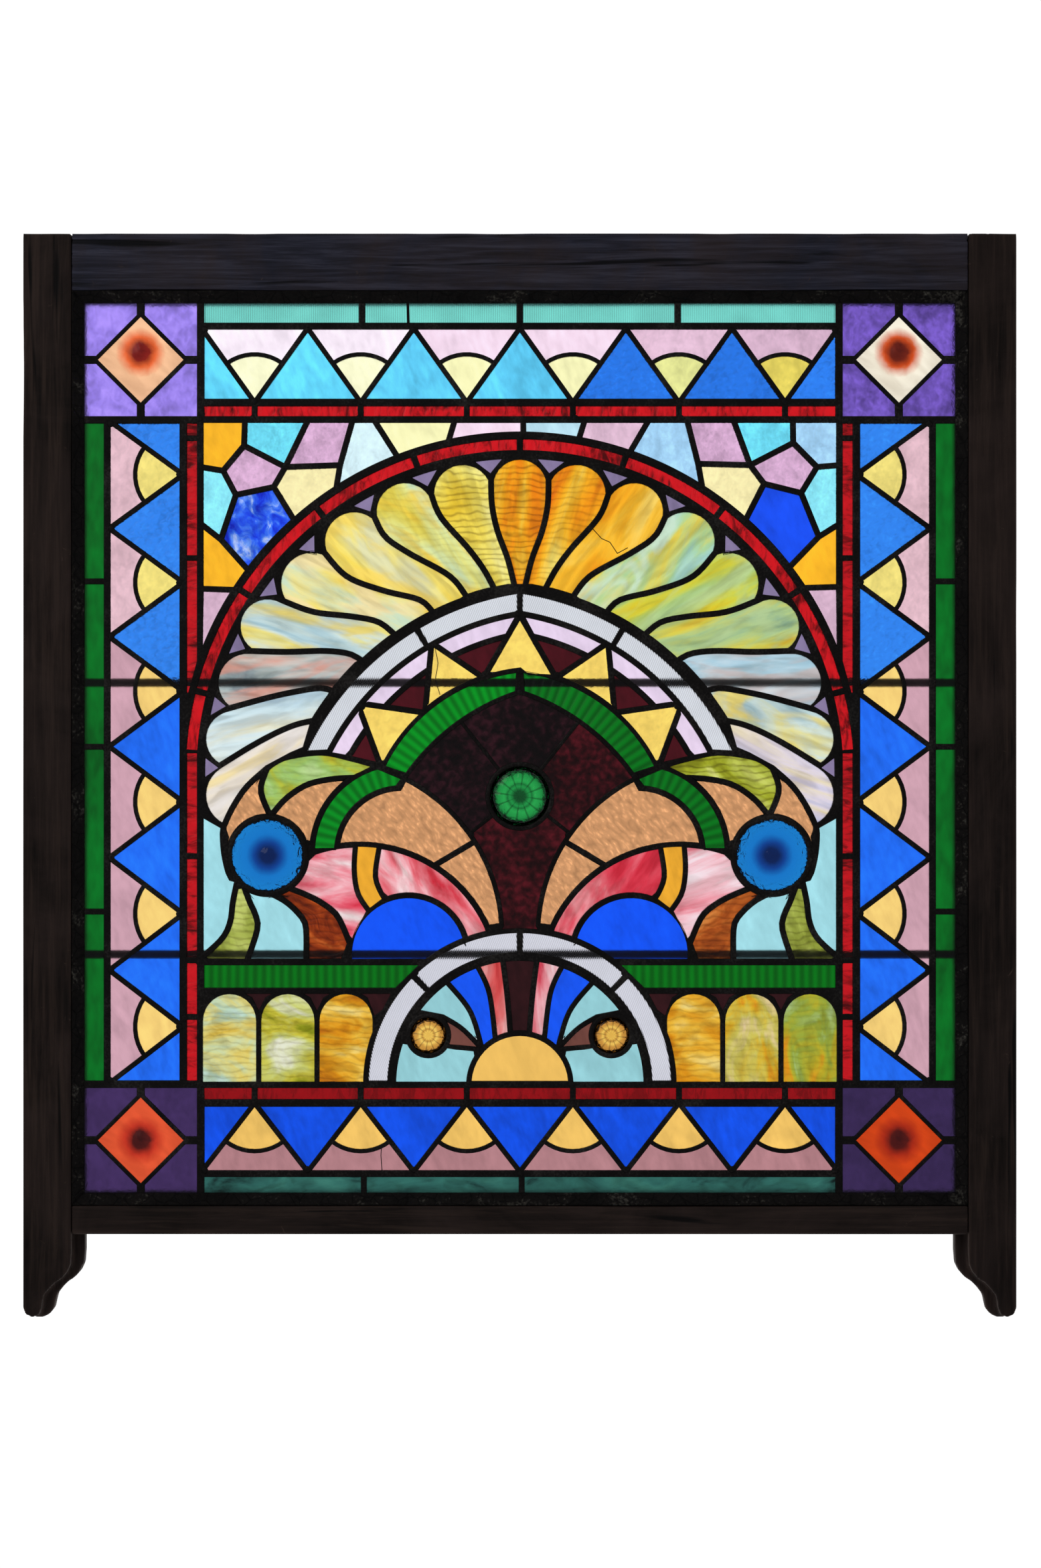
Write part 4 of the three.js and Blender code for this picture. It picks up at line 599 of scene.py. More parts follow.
for a, b in ((91.2, 133.3), (135.7, 179)):
    band = half_round_band("outer", -1, a, b) + half_round_band("inner", 1, b, a)
    show_pair([(x, max(z, HALF_FLOOR)) for x, z in band], "white_half_round", "white_band")
RIM_R = HALF_ROUND["inner"] - 3.5
rim_arc = partial(arc, 0, SUN_Z, RIM_R)
sun_arc = partial(arc, 0, SUN_Z, SUN_R, step=FINE_STEP)


def ray(top_deg, middle, foot_deg):
    return sweep([polar(0, SUN_Z, RIM_R, top_deg), middle, polar(0, SUN_Z, SUN_R, foot_deg)])


ray_ends = [(97.9, 100.8), (109.8, 118.6), (125.6, 137.3)]
rays = [ray(top_deg, middle, foot) for (top_deg, foot), middle
        in zip(ray_ends, ((-13.8, 212), (-33, 215), (-53.5, 195)))]
HALF = "half_round_glass"
add_pane([*rim_arc(180 - 97.9, 97.9), *rays[0][1:], *sun_arc(100.8, 79.2)[1:], *mirror(rays[0])[1:-1]],
         HALF, "maroon_deep")
for i, looks in ((0, ("ray_red", "ray_pink")), (1, ("ray_blue", "ray_blue"))):
    (top_a, foot_a), (top_b, foot_b) = ray_ends[i:i + 2]
    add_pair([*rim_arc(top_a, top_b), *rays[i + 1][1:], *sun_arc(foot_b, foot_a)[1:], *rays[i][-2:0:-1]],
             HALF, *looks, came=CAME_W - 0.8)
ray_tip = polar(0, SUN_Z, SUN_R, 137.3)
beak_top = sweep([(-83, 189), (-62, 176), ray_tip])
beak_floor = sweep([ray_tip, (-62, 156), (-76, 157)])
small_ring = partial(arc, SMALL_JEWEL["x"], SMALL_JEWEL["z"], SMALL_JEWEL["r"] + RING_W / 2, step=FINE_STEP)
add_pair([*rim_arc(125.6, 145), *beak_top, *rays[2][-2:0:-1]], HALF, "aqua_dim", came=5.6)
add_pair([*beak_top, *beak_floor[1:], *small_ring(-28, 30)], HALF, "brown_dim", came=5)
add_pair([*rim_arc(180, 160), *small_ring(200, 330), *beak_floor[-2:0:-1], *sun_arc(147, 180)],
         HALF, "aqua_dim", came=5.6)
show(arc(0, SUN_Z, SUN_R - 3, 4, 176), "sun", "sun")
rounds = [
    {**JEWEL, "node": "jewel_green"},
    {**SMALL_JEWEL, "node": "jewel_yellow_left"}, {**flip(SMALL_JEWEL), "node": "jewel_yellow_right"},
    {**RONDEL, "node": "rondel_blue_left"}, {**flip(RONDEL), "node": "rondel_blue_right"},
]


# Materials

def srgb(*rgb):
    linear = [(c / 255) / 12.92 if c <= 10 else ((c / 255 + 0.055) / 1.055) ** 2.4 for c in rgb]
    return (*linear, 1)


def grey(value):
    return (value, value, value, 1)


BLACK, WHITE = grey(0), grey(1)


class Nodes:
    """A procedural material, its links written from left to right."""

    def __init__(self, name):
        self.material = bpy.data.materials.new(name)
        self.material.use_nodes = True
        self.tree = self.material.node_tree
        self.shader = self.tree.nodes["Principled BSDF"]

    def add(self, kind, inputs=None, **settings):
        node = self.tree.nodes.new(kind)
        for key, value in settings.items():
            setattr(node, key, value)
        for key, value in (inputs or {}).items():
            if isinstance(value, bpy.types.NodeSocket):
                self.tree.links.new(value, node.inputs[key])
            else:
                node.inputs[key].default_value = value
        return node

    def coords(self, scale=(1, 1, 1), turn=0, shift=(0, 0, 0)):
        """Object coordinates, turned in the panel's plane and then scaled."""
        point = self.add("ShaderNodeTexCoord").outputs["Object"]
        turned_at = self.add("ShaderNodeMapping", {
            "Vector": point, "Rotation": (0, math.radians(turn), 0), "Location": shift}).outputs[0]
        return self.add("ShaderNodeMapping", {"Vector": turned_at, "Scale": scale}).outputs[0]

    def noise(self, vector, scale, detail=3, distortion=0.0, rough=0.5):
        return self.add("ShaderNodeTexNoise", {
            "Vector": vector, "Scale": scale, "Detail": detail, "Distortion": distortion,
            "Roughness": rough}).outputs[0]

    def ramp(self, value, stops):
        node = self.add("ShaderNodeValToRGB", {"Fac": value})
        elements = node.color_ramp.elements
        while len(elements) < len(stops):
            elements.new(0.5)
        for element, (at, colour) in zip(elements, stops):
            element.position = at
            element.color = colour
        return node.outputs["Color"]

    def tones(self, value, colour, low, high, start, end):
        """A colour that is darker where the value is low and lighter where it is high."""
        return self.ramp(value, [(start, shade(colour, low)), (0.5, shade(colour)),
                                 (end, shade(colour, high))])

    def mix(self, factor, a, b, mode="MIX"):
        node = self.add("ShaderNodeMix", {0: factor, 6: a, 7: b}, data_type="RGBA", blend_type=mode)
        return node.outputs[2]

    def calc(self, kind, *values):
        return self.add("ShaderNodeMath", dict(enumerate(values)), operation=kind).outputs[0]

    def angle(self, at):
        """The angle of a point round the Y line through zero."""
        parts = self.add("ShaderNodeSeparateXYZ", {0: at}).outputs
        return self.calc("ARCTAN2", parts["Z"], parts["X"])

    def distance(self, at):
        return self.add("ShaderNodeVectorMath", {0: at}, operation="LENGTH").outputs["Value"]

    def wave(self, value):
        """A sine of the value, from 0 to 1."""
        return self.calc("MULTIPLY_ADD", self.calc("SINE", value), 0.5, 0.5)

    def bump(self, height, strength, distance):
        return self.add("ShaderNodeBump", {"Height": height, "Strength": strength,
                                           "Distance": distance}).outputs[0]

    def finish(self, colour, normal=None, rough=None, **values):
        self.tree.links.new(colour, self.shader.inputs["Base Color"])
        if normal:
            self.tree.links.new(normal, self.shader.inputs["Normal"])
        if isinstance(rough, bpy.types.NodeSocket):
            self.tree.links.new(rough, self.shader.inputs["Roughness"])
        elif rough is not None:
            self.shader.inputs["Roughness"].default_value = rough
        for key, value in values.items():
            self.shader.inputs[key.replace("_", " ")].default_value = value
        return self.material


def shade(colour, amount=1):
    return (*(min(1, c * amount) for c in srgb(*colour)[:3]), 1)


def glass_finish(m, colour, normal, rough=0.3):
    return m.finish(colour, normal, rough, Transmission_Weight=1.0, IOR=1.45)


def cathedral(name, colour, low=0.76, high=1.16, scale=28, turn=20):
    """Smooth tinted glass with soft waves."""
    m = Nodes(name)
    at = m.coords((1, 1, 0.45), turn)
    waves = m.noise(at, scale, 3, 1.2)
    fine = m.noise(at, scale * 6, 3)
    height = m.mix(0.45, waves, fine)
    # The lighter and darker tones that follow the waves are painted light: the backlight bent by the uneven
    # glass.
    tint = m.tones(height, colour, low, high, 0.34, 0.66)
    return glass_finish(m, tint, m.bump(height, 0.35, 0.002))


def rippled(name, colour, low, high, scale=48):
    """Glass with a wavy, rolled face."""
    m = Nodes(name)
    at = m.coords((1, 1, 0.8))
    waves = m.noise(at, scale, 3, 0.9, 0.5)
    fine = m.noise(at, scale * 4, 3, 0.6)
    height = m.mix(0.4, waves, fine)
    # The lighter and darker tones that follow the waves are painted light: the backlight bent by the rolled
    # glass.
    tint = m.tones(height, colour, low, high, 0.36, 0.62)
    return glass_finish(m, tint, m.bump(height, 0.5, 0.003), 0.25)


def hammered(name, colour, low, high):
    """Glass with a closely dimpled face."""
    m = Nodes(name)
    at = m.coords((1, 1, 1.25), 25)
    dimples = m.noise(at, 150, 3, 0.7, 0.55)
    broad = m.noise(m.coords(), 22, 2)
    height = m.mix(0.3, dimples, broad)
    # The lighter and darker tones that follow the dimples are painted light: the backlight bent by the
    # dimpled glass.
    tint = m.ramp(height, [(0.36, shade(colour, low)), (0.49, shade(colour)), (0.57, shade(colour)),
                           (0.66, shade(colour, high))])
    return glass_finish(m, tint, m.bump(dimples, 0.6, 0.003), 0.22)


def reeded(name, colour, period, turn, low, high, uneven=0.3):
    """Glass pressed in fine parallel ribs, a period in millimetres apart."""
    m = Nodes(name)
    at = m.coords(turn=turn)
    ribs = m.add("ShaderNodeTexWave", {
        "Vector": at, "Scale": 2 * math.pi / (20 * period / 1000), "Distortion": 0.8, "Detail": 1.0,
        "Detail Scale": 0.3}, bands_direction="X").outputs[1]
    blotches = m.noise(at, 30, 3)
    value = m.mix(uneven, ribs, blotches)
    # Lighter and darker along the ribs is painted light: the backlight bent by the ribs.
    tint = m.tones(value, colour, low, high, 0.12, 0.88)
    return glass_finish(m, tint, m.bump(ribs, 0.4, 0.002), 0.25)


FLUTE_PERIOD = 9.8


def fluted(name, colour, centre, r):
    """Glass pressed in ribs that point to the centre of its arc."""
    m = Nodes(name)
    at = m.coords(shift=tuple(-place(centre["x"], centre["z"], 0)))
    ribs = m.wave(m.calc("MULTIPLY", m.angle(at), 2 * math.pi * r / FLUTE_PERIOD))
    value = m.mix(0.3, ribs, m.noise(m.coords(), 30, 3))
    # Lighter and darker along the ribs is painted light: the backlight bent by the flutes.
    tint = m.tones(value, colour, 0.66, 1.4, 0.1, 0.9)
    return glass_finish(m, tint, m.bump(ribs, 0.4, 0.002), 0.25)


def opal(name, colours, scale, turn, stretch, water=0.0, second=None):
    """Streaky opalescent glass of several colours. water is the strength of dark ripple lines.

    second is the colour of soft patches over the streaks.
    """
    m = Nodes(name)
    streaks = m.noise(m.coords((1, 1, stretch), turn), scale * 1.5, 5, 1.0, 0.6)
    tint = m.ramp(streaks, stops(colours))
    if second:
        patches = m.noise(m.coords((1, 1, stretch * 1.6), turn + 12), scale * 1.6, 3, 1.5)
        tint = m.mix(m.ramp(patches, [(0.5, BLACK), (0.62, grey(0.9))]), tint,
                     shade(second))
    ripple = m.noise(m.coords((1, 1, stretch), turn), 85, 3, 0.8)
    shadow = m.ramp(ripple, [(0.36, (0.52, 0.5, 0.46, 1)), (0.56, WHITE)])
    tint = m.mix(0.6, tint, shadow, "MULTIPLY")
    height = ripple
    if water:
        lines = m.add("ShaderNodeTexWave", {
            "Vector": m.coords((0.7, 1, 1)), "Scale": 44.0, "Distortion": 8.0, "Detail": 2.0,
            "Detail Scale": 1.0, "Detail Roughness": 0.6}, bands_direction="Z").outputs[1]
        # The dark ripple lines are painted shade along the ripples of the glass.
        dark = m.ramp(lines, [(0.0, (0.2, 0.15, 0.08, 1)), (0.22, (0.72, 0.68, 0.6, 1)), (0.5, WHITE)])
        tint = m.mix(water, tint, dark, "MULTIPLY")
        height = m.mix(0.6, ripple, lines)
    return glass_finish(m, tint, m.bump(height, 0.4, 0.002), 0.45)


def crinkled(name, colour, dark, turn=0):
    """Red glass with short dark wrinkles across the strip."""
    m = Nodes(name)
    folds = m.noise(m.coords((1, 1, 0.35), turn), 105, 4, 1.4, 0.6)
    broad = m.noise(m.coords(), 26, 3)
    value = m.mix(0.35, folds, broad)
    # The dark wrinkles are painted shade in the folds, and the lighter tone painted light on their crests.
    tint = m.ramp(value, [(0.38, shade(colour, dark)), (0.45, shade(colour, 0.6)), (0.5, shade(colour)),
                          (0.6, shade(colour, 1.15))])
    return glass_finish(m, tint, m.bump(folds, 0.6, 0.003), 0.25)


def florentine(name, colour):
    """Pressed glass with short light dashes."""
    m = Nodes(name)
    swirl = m.add("ShaderNodeTexNoise", {"Vector": m.coords(), "Scale": 60.0}).outputs[1]
    at = m.mix(0.008, m.coords((1, 1, 0.42), 40), swirl)
    marks = m.add("ShaderNodeTexVoronoi", {"Vector": at, "Scale": 230.0}).outputs["Distance"]
    # The light dashes are painted highlights of the pressed pattern, and its darker hollows painted shade.
    tint = m.ramp(marks, [(0.2, shade(colour, 1.5)), (0.34, shade(colour)), (0.6, shade(colour, 0.92)),
                          (0.8, shade(colour, 0.68))])
    return glass_finish(m, tint, m.bump(marks, 0.5, 0.002), 0.25)


def mottled(name, colour, bright):
    """Very dark glass with soft red blots in a small squared grid."""
    m = Nodes(name)
    blots = m.noise(m.coords(turn=45), 130, 2, 0.3)
    broad = m.noise(m.coords(), 18, 2)
    value = m.mix(0.35, blots, broad)
    tint = m.tones(value, colour, 0.3, bright, 0.4, 0.64)
    return glass_finish(m, tint, m.bump(blots, 0.5, 0.002), 0.3)


# Tones of the border's glass. Those in TEXTURED are from rougher sheets.
PINKS = ((254, 240, 254), (249, 222, 242), (224, 188, 211), (213, 177, 201), (205, 160, 175),
         (177, 126, 132), (223, 184, 196))
YELLOWS = ((255, 255, 212), (254, 252, 192), (226, 228, 148), (230, 212, 96), (246, 208, 120),
           (240, 194, 100), (240, 222, 124))
BLUES = ((98, 216, 254), (96, 210, 253), (38, 118, 232), (44, 128, 244), (30, 108, 247),
         (12, 76, 222), (48, 132, 241))
TEXTURED = (2, 3, 6)


def stops(colours):
    """Ramp stops for a noise, which keeps to the middle of its range."""
    n = len(colours) - 1
    return [(0.34 + 0.3 * i / n, srgb(*colour)) for i, colour in enumerate(colours)]


# Each look: a kind of glass, its colour or colours, and the values that its function takes next
LOOKS = {
    "purple_top_left": (rippled, (154, 130, 236), 0.62, 1.35, 34),
    "purple_top_right": (rippled, (106, 80, 176), 0.55, 1.5, 52),
    "purple_bottom_left": (rippled, (62, 42, 90), 0.8, 1.2, 40),
    "purple_bottom_right": (rippled, (52, 36, 78), 0.8, 1.2, 40),
    "spandrel": (cathedral, (134, 120, 158)),
    "aqua_strip_top": (reeded, (112, 202, 192), 2.0, 0, 0.55, 1.35, 0.5),
    "aqua_strip_bottom": (opal, ((8, 26, 26), (42, 94, 88), (48, 106, 98), (60, 124, 112)), 20, 90, 0.5),
    "green_strip": (cathedral, (0, 104, 30), 0.6, 1.4, 20, 0),
    "red": (crinkled, (198, 16, 26), 0.12, 0),
    "red_across": (crinkled, (186, 16, 26), 0.12, 90),
    "red_dark": (crinkled, (138, 6, 14), 0.7),
    "amber": (cathedral, (254, 186, 38), 0.8, 1.15),
    "cyan": (rippled, (110, 222, 248), 0.75, 1.25, 60),
    "cyan_light": (rippled, (138, 232, 250), 0.8, 1.2, 60),
    "mauve": (rippled, (212, 170, 206), 0.72, 1.25, 70),
    "cream": (rippled, (250, 238, 178), 0.85, 1.1, 60),
    "pale_blue": (rippled, (216, 244, 252), 0.85, 1.1, 60),
    "powder_blue": (rippled, (164, 212, 248), 0.8, 1.2, 60),
    "sky": (cathedral, (190, 230, 246), 0.85),
    "cobalt": (cathedral, (22, 78, 240), 0.75),
    "cobalt_swirl": (opal, ((14, 36, 200), (30, 76, 240), (60, 120, 252), (190, 210, 255)), 44, 30, 0.7),
    "petal_orange": (opal, ((242, 136, 12), (250, 176, 28), (254, 208, 70), (255, 230, 120)),
                     13, 0, 0.4, 0.55),
    "petal_olive": (opal, ((236, 200, 50), (244, 220, 84), (248, 236, 124), (252, 246, 180)),
                    13, 20, 0.22, 0.55),
    "petal_citron": (opal, ((222, 196, 60), (236, 222, 96), (232, 236, 150), (206, 232, 196)),
                     13, 35, 0.22, 0.15, (250, 214, 70)),
    "petal_pearl": (opal, ((244, 190, 50), (250, 222, 92), (250, 234, 128), (232, 230, 180)),
                    15, 47, 0.22, 0.0, (252, 222, 104)),
    "petal_cream": (opal, ((248, 196, 50), (248, 226, 110), (240, 232, 160), (206, 228, 200)),
                    15, 58, 0.22, 0.0, (250, 230, 170)),
    "petal_blue": (opal, ((140, 170, 182), (176, 208, 218), (212, 230, 226), (238, 226, 130)),
                   15, 74, 0.22, 0.0, (240, 218, 110)),
    "petal_rose": (opal, ((120, 134, 142), (176, 190, 190), (214, 204, 196), (222, 156, 140)),
                   15, 88, 0.22, 0.0, (222, 160, 144)),
    "petal_white": (opal, ((176, 204, 224), (206, 230, 238), (222, 238, 240), (236, 232, 200)),
                    15, 103, 0.22),
    "petal_shell": (opal, ((196, 206, 212), (232, 224, 214), (240, 230, 216), (246, 226, 170)),
                    15, 116, 0.22, 0.0, (236, 230, 226)),
    "petal_amber": (opal, ((232, 110, 8), (248, 160, 20), (252, 190, 40), (250, 226, 110)),
                    13, -20, 0.22, 0.35),
    "petal_gold": (opal, ((246, 140, 12), (252, 176, 30), (252, 194, 50), (252, 214, 100)), 12, -35, 0.22),
    "petal_mint": (opal, ((242, 160, 40), (230, 216, 90), (176, 216, 156), (166, 214, 204)),
                   14, -47, 0.22, 0.0, (206, 232, 210)),
    "petal_lime": (opal, ((226, 196, 30), (210, 212, 70), (176, 206, 120), (176, 214, 170)),
                   14, -58, 0.22, 0.0, (190, 216, 150)),
    "petal_sea": (opal, ((130, 170, 150), (176, 204, 140), (220, 210, 80), (230, 186, 50)),
                  14, -74, 0.22, 0.0, (180, 206, 150)),
    "petal_ice": (opal, ((150, 190, 210), (176, 210, 226), (206, 224, 234), (226, 226, 226)),
                  14, -88, 0.22, 0.0, (200, 190, 190)),
    "petal_lilac": (opal, ((180, 186, 220), (200, 200, 226), (226, 216, 228), (240, 226, 170)),
                    15, -116, 0.22),
    "white_reeded": (reeded, (208, 212, 220), 1.9, 20, 0.7, 1.2),
    "white_band": (reeded, (206, 207, 218), 1.9, 20, 0.72, 1.15),
    "star": (rippled, (246, 212, 104), 0.85, 1.15, 50),
    "lilac": (cathedral, (230, 210, 236), 0.86),
    "maroon": (cathedral, (68, 10, 20), 0.7, 1.3),
    "green_arch_left": (fluted, (0, 126, 26), GREEN_LANCET, GREEN_RIB_R),
    "green_arch_right": (fluted, (0, 100, 20), flip(GREEN_LANCET), GREEN_RIB_R),
    "green_arm_left": (fluted, (0, 122, 26), GREEN_ARM, ARM_RIB_R),
    "green_arm_right": (fluted, (0, 100, 20), flip(GREEN_ARM), ARM_RIB_R),
    "green_band": (reeded, (0, 98, 16), 9.5, 0, 0.72, 1.4, 0.35),
    "field": (mottled, (48, 5, 11), 3.0),
    "field_dark": (mottled, (16, 3, 6), 5.0),
    "field_right": (mottled, (42, 4, 9), 3.4),
    "leaf_left": (opal, ((206, 190, 40), (180, 196, 70), (160, 200, 110), (190, 220, 150)),
                  16, 80, 0.5, 0.2),
    "leaf_right": (opal, ((136, 140, 26), (164, 172, 40), (190, 200, 80), (222, 226, 130)),
                   16, 60, 0.5, 0.6),
    "leaflet": (opal, ((130, 140, 46), (156, 168, 66), (178, 190, 90), (204, 214, 120)), 18, 30, 0.5, 0.4),
    "salmon": (florentine, (212, 154, 106)),
    "opal_pink": (opal, ((214, 40, 66), (232, 96, 116), (244, 176, 186), (246, 228, 230)), 17, 80, 0.3),
    "opal_white": (opal, ((228, 96, 116), (242, 172, 184), (246, 220, 228), (240, 238, 242)), 17, -75, 0.3),
    "opal_red": (opal, ((212, 44, 62), (234, 118, 130), (244, 178, 186), (250, 228, 230)), 17, 35, 0.3),
    "opal_rose": (opal, ((196, 30, 50), (216, 54, 74), (226, 84, 100), (240, 150, 158)), 17, -35, 0.3),
    "gold": (cathedral, (234, 168, 46), 0.8),
    "dome_blue": (cathedral, (14, 84, 248), 0.8),
    "brown": (opal, ((66, 20, 6), (134, 46, 10), (166, 66, 16), (200, 100, 40)), 30, 60, 0.6, 0.4),
    "brown_right": (opal, ((120, 52, 14), (164, 76, 22), (190, 98, 34), (226, 140, 66)), 30, -60, 0.6, 0.4),
    "brown_dim": (cathedral, (110, 66, 58), 0.7),
    "aqua": (cathedral, (160, 218, 228), 0.88),
    "aqua_dim": (cathedral, (146, 202, 210), 0.88),
    "light_pale": (opal, ((226, 190, 66), (226, 216, 130), (190, 220, 196), (206, 230, 226)),
                   15, 80, 0.5, 0.3),
    "light_green": (opal, ((140, 146, 20), (206, 196, 60), (206, 212, 120), (230, 232, 210)),
                    15, 80, 0.5, 0.3),
    "light_amber": (opal, ((190, 110, 10), (222, 150, 20), (240, 190, 60), (246, 220, 130)),
                    15, 80, 0.5, 0.35),
    "light_flame": (opal, ((226, 130, 20), (222, 180, 40), (206, 196, 90), (230, 206, 160)),
                    15, 20, 0.5, 0.2),
    "light_citron": (opal, ((226, 140, 20), (190, 176, 40), (150, 168, 60), (170, 196, 130)),
                     15, 10, 0.5, 0.2),
    "maroon_deep": (cathedral, (42, 12, 16), 0.6, 1.5),
    "ray_red": (opal, ((176, 36, 40), (214, 80, 80), (226, 120, 120), (240, 180, 180)), 22, 0, 0.3),
    "ray_pink": (opal, ((206, 60, 80), (232, 150, 160), (242, 200, 206), (240, 232, 238)), 22, 0, 0.3),
    "ray_blue": (cathedral, (18, 84, 240), 0.8),
    "sun": (cathedral, (238, 190, 96), 0.9, 1.08),
}
for tone, (pink, yellow, blue) in enumerate(zip(PINKS, YELLOWS, BLUES)):
    pale_kind, blue_kind = (rippled, hammered) if tone in TEXTURED else (cathedral, cathedral)
    LOOKS[f"pink_{tone}"] = (pale_kind, pink, 0.82, 1.15)
    LOOKS[f"yellow_{tone}"] = (pale_kind, yellow, 0.82, 1.15)
    LOOKS[f"blue_{tone}"] = (blue_kind, blue, 0.74, 1.3)
made = {}


def glass(look):
    if look not in made:
        kind, *values = LOOKS[look]
        made[look] = kind(f"glass_{look}", *values)
    return made[look]


# Mesh helpers

def new_object(name, mesh, body="root"):
    obj = bpy.data.objects.new(name, mesh)
    bpy.context.scene.collection.objects.link(obj)
    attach(obj, body)
    return obj


def to_object(bm, name, materials, smooth=False):
    bmesh.ops.recalc_face_normals(bm, faces=bm.faces[:])
    mesh = bpy.data.meshes.new(name)
    bm.to_mesh(mesh)
    bm.free()
    for material in materials:
        mesh.materials.append(material)
    if smooth:
        mesh.shade_smooth()
    return new_object(name, mesh)


def add_loop(bm, outline, y):
    return [bm.verts.new(place(x, z, y)) for x, z in outline]


def bridge(bm, a, b):
    """A band of faces between two closed loops."""
    count = len(a)
    return [bm.faces.new((a[i], a[(i + 1) % count], b[(i + 1) % count], b[i])) for i in range(count)]


def add_tube(bm, loops):
    """Loops joined one after another, and closed at both ends."""
    for a, b in zip(loops, loops[1:]):
        bridge(bm, a, b)
    bm.faces.new(loops[0][::-1])
    bm.faces.new(loops[-1])


def add_slab(bm, outline, y_front, y_back, index=0):
    front, back = add_loop(bm, outline, y_front), add_loop(bm, outline, y_back)
    for face in [bm.faces.new(front), bm.faces.new(back[::-1]), *bridge(bm, back, front)]:
        face.material_index = index


# Glass: one piece for each solid, of separate panes in the channels of the cames
PANE_LAP = 1.3
by_node = {}
for pane in panes:
    by_node.setdefault(pane["node"], []).append(pane)
for node, group in by_node.items():
    looks = sorted({pane["look"] for pane in group})
    bm = bmesh.new()
    for pane in group:
        add_slab(bm, inset(pane["outline"], -PANE_LAP), GLASS_FRONT, GLASS_BACK, looks.index(pane["look"]))
    obj = to_object(bm, f"{node}_panes", [glass(look) for look in looks])
    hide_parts(node)

# Bullions: a thick spun centre and rings round it, square panes on their points
BULLION_LOOKS = {
    "bullion_top_left": ((255, 200, 156), (240, 104, 50), (92, 6, 12)),
    "bullion_top_right": ((254, 246, 226), (214, 78, 26), (70, 14, 12)),
    "bullion_bottom_left": ((232, 88, 50), (196, 50, 30), (36, 8, 12)),
    "bullion_bottom_right": ((214, 68, 16), (170, 40, 14), (46, 8, 12)),
}
SPOT_R = 14
SPOT_RISE = 8
BOSS_H = 3.2
SPUN_RING_H = 0.35
SPUN_RING_GAP = 2.3


def bullion_glass(name, outer, ring, spot, up):
    m = Nodes(name)
    at = m.coords(shift=(0, 0, -up / 1000))
    wobble = m.calc("MULTIPLY_ADD", m.noise(at, 45, 3, 1.5), 0.008, m.distance(at))
    tint = m.ramp(m.calc("MULTIPLY", wobble, 22.0), [(0.33, srgb(*spot)), (0.49, srgb(*ring)),
                                                     (0.7, srgb(*outer)), (0.95, shade(outer, 0.9))])
    streaks = m.noise(m.coords((1, 1, 0.4), 50), 50, 4, 1.5)
    # The darker streaks are painted shade along the ripples of the spun glass.
    tint = m.mix(0.4, tint, m.ramp(streaks, [(0.36, (0.55, 0.5, 0.45, 1)), (0.56, WHITE)]), "MULTIPLY")
    return glass_finish(m, tint, m.bump(streaks, 0.4, 0.002), 0.3)


def turned(profile, at, sides, name, materials, facet=None):
    """A solid of revolution about a line along Y. facet(r, angle) gives a further depth in mm."""
    bm = bmesh.new()
    rings = []
    for r, y in profile:
        ring = []
        for k in range(sides):
            a = 2 * math.pi * k / sides
            lift = facet(r, a) if facet and y < GLASS_FRONT else 0
            ring.append(bm.verts.new((r * math.cos(a) / 1000, (y + lift) / 1000, r * math.sin(a) / 1000)))
        rings.append(ring)
    add_tube(bm, rings)
    obj = to_object(bm, name, materials, smooth=True)
    obj.location = place(at["x"], at["z"], 0)
    return obj


def diamond_solid(spec, name, material):
    """A square pane on its point, swelling to a spun boss in the middle."""
    bm = bmesh.new()
    cells = 40
    reach = DIAMOND_HALF - DIAMOND_LAP + PANE_LAP
    grid = {}
    for i in range(cells + 1):
        for j in range(cells + 1):
            u, v = 2 * i / cells - 1, 2 * j / cells - 1
            x, z = reach * (u + v) / 2, reach * (v - u) / 2
            r = math.hypot(x, z - spec["up"])
            boss = BOSS_H * math.exp(-(r / SPOT_R) ** 2)
            boss += SPUN_RING_H * math.sin(r / SPUN_RING_GAP) * math.exp(-r / 22)
            grid[i, j, 0] = bm.verts.new((x / 1000, (GLASS_FRONT - boss) / 1000, z / 1000))
            grid[i, j, 1] = bm.verts.new((x / 1000, GLASS_BACK / 1000, z / 1000))
    for i in range(cells):
        for j in range(cells):
            for level in (0, 1):
                quad = [grid[i, j, level], grid[i + 1, j, level], grid[i + 1, j + 1, level],
                        grid[i, j + 1, level]]
                bm.faces.new(quad if level else quad[::-1])
    rim = ([(i, 0) for i in range(cells)] + [(cells, j) for j in range(cells)]
           + [(i, cells) for i in range(cells, 0, -1)] + [(0, j) for j in range(cells, 0, -1)])
    for (a, b), (c, d) in zip(rim, rim[1:] + rim[:1]):
        bm.faces.new((grid[a, b, 0], grid[c, d, 0], grid[c, d, 1], grid[a, b, 1]))
    obj = to_object(bm, name, [material], smooth=True)
    obj.location = place(spec["x"], spec["z"], 0)
    return obj


for spec in bullions:
    node = spec["node"]
    spec["up"] = SPOT_RISE if "top" in node else 0
    look = bullion_glass(f"glass_{node}", *BULLION_LOOKS[node], spec["up"])
    obj = diamond_solid(spec, f"{node}_spun", look)
    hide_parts(node)


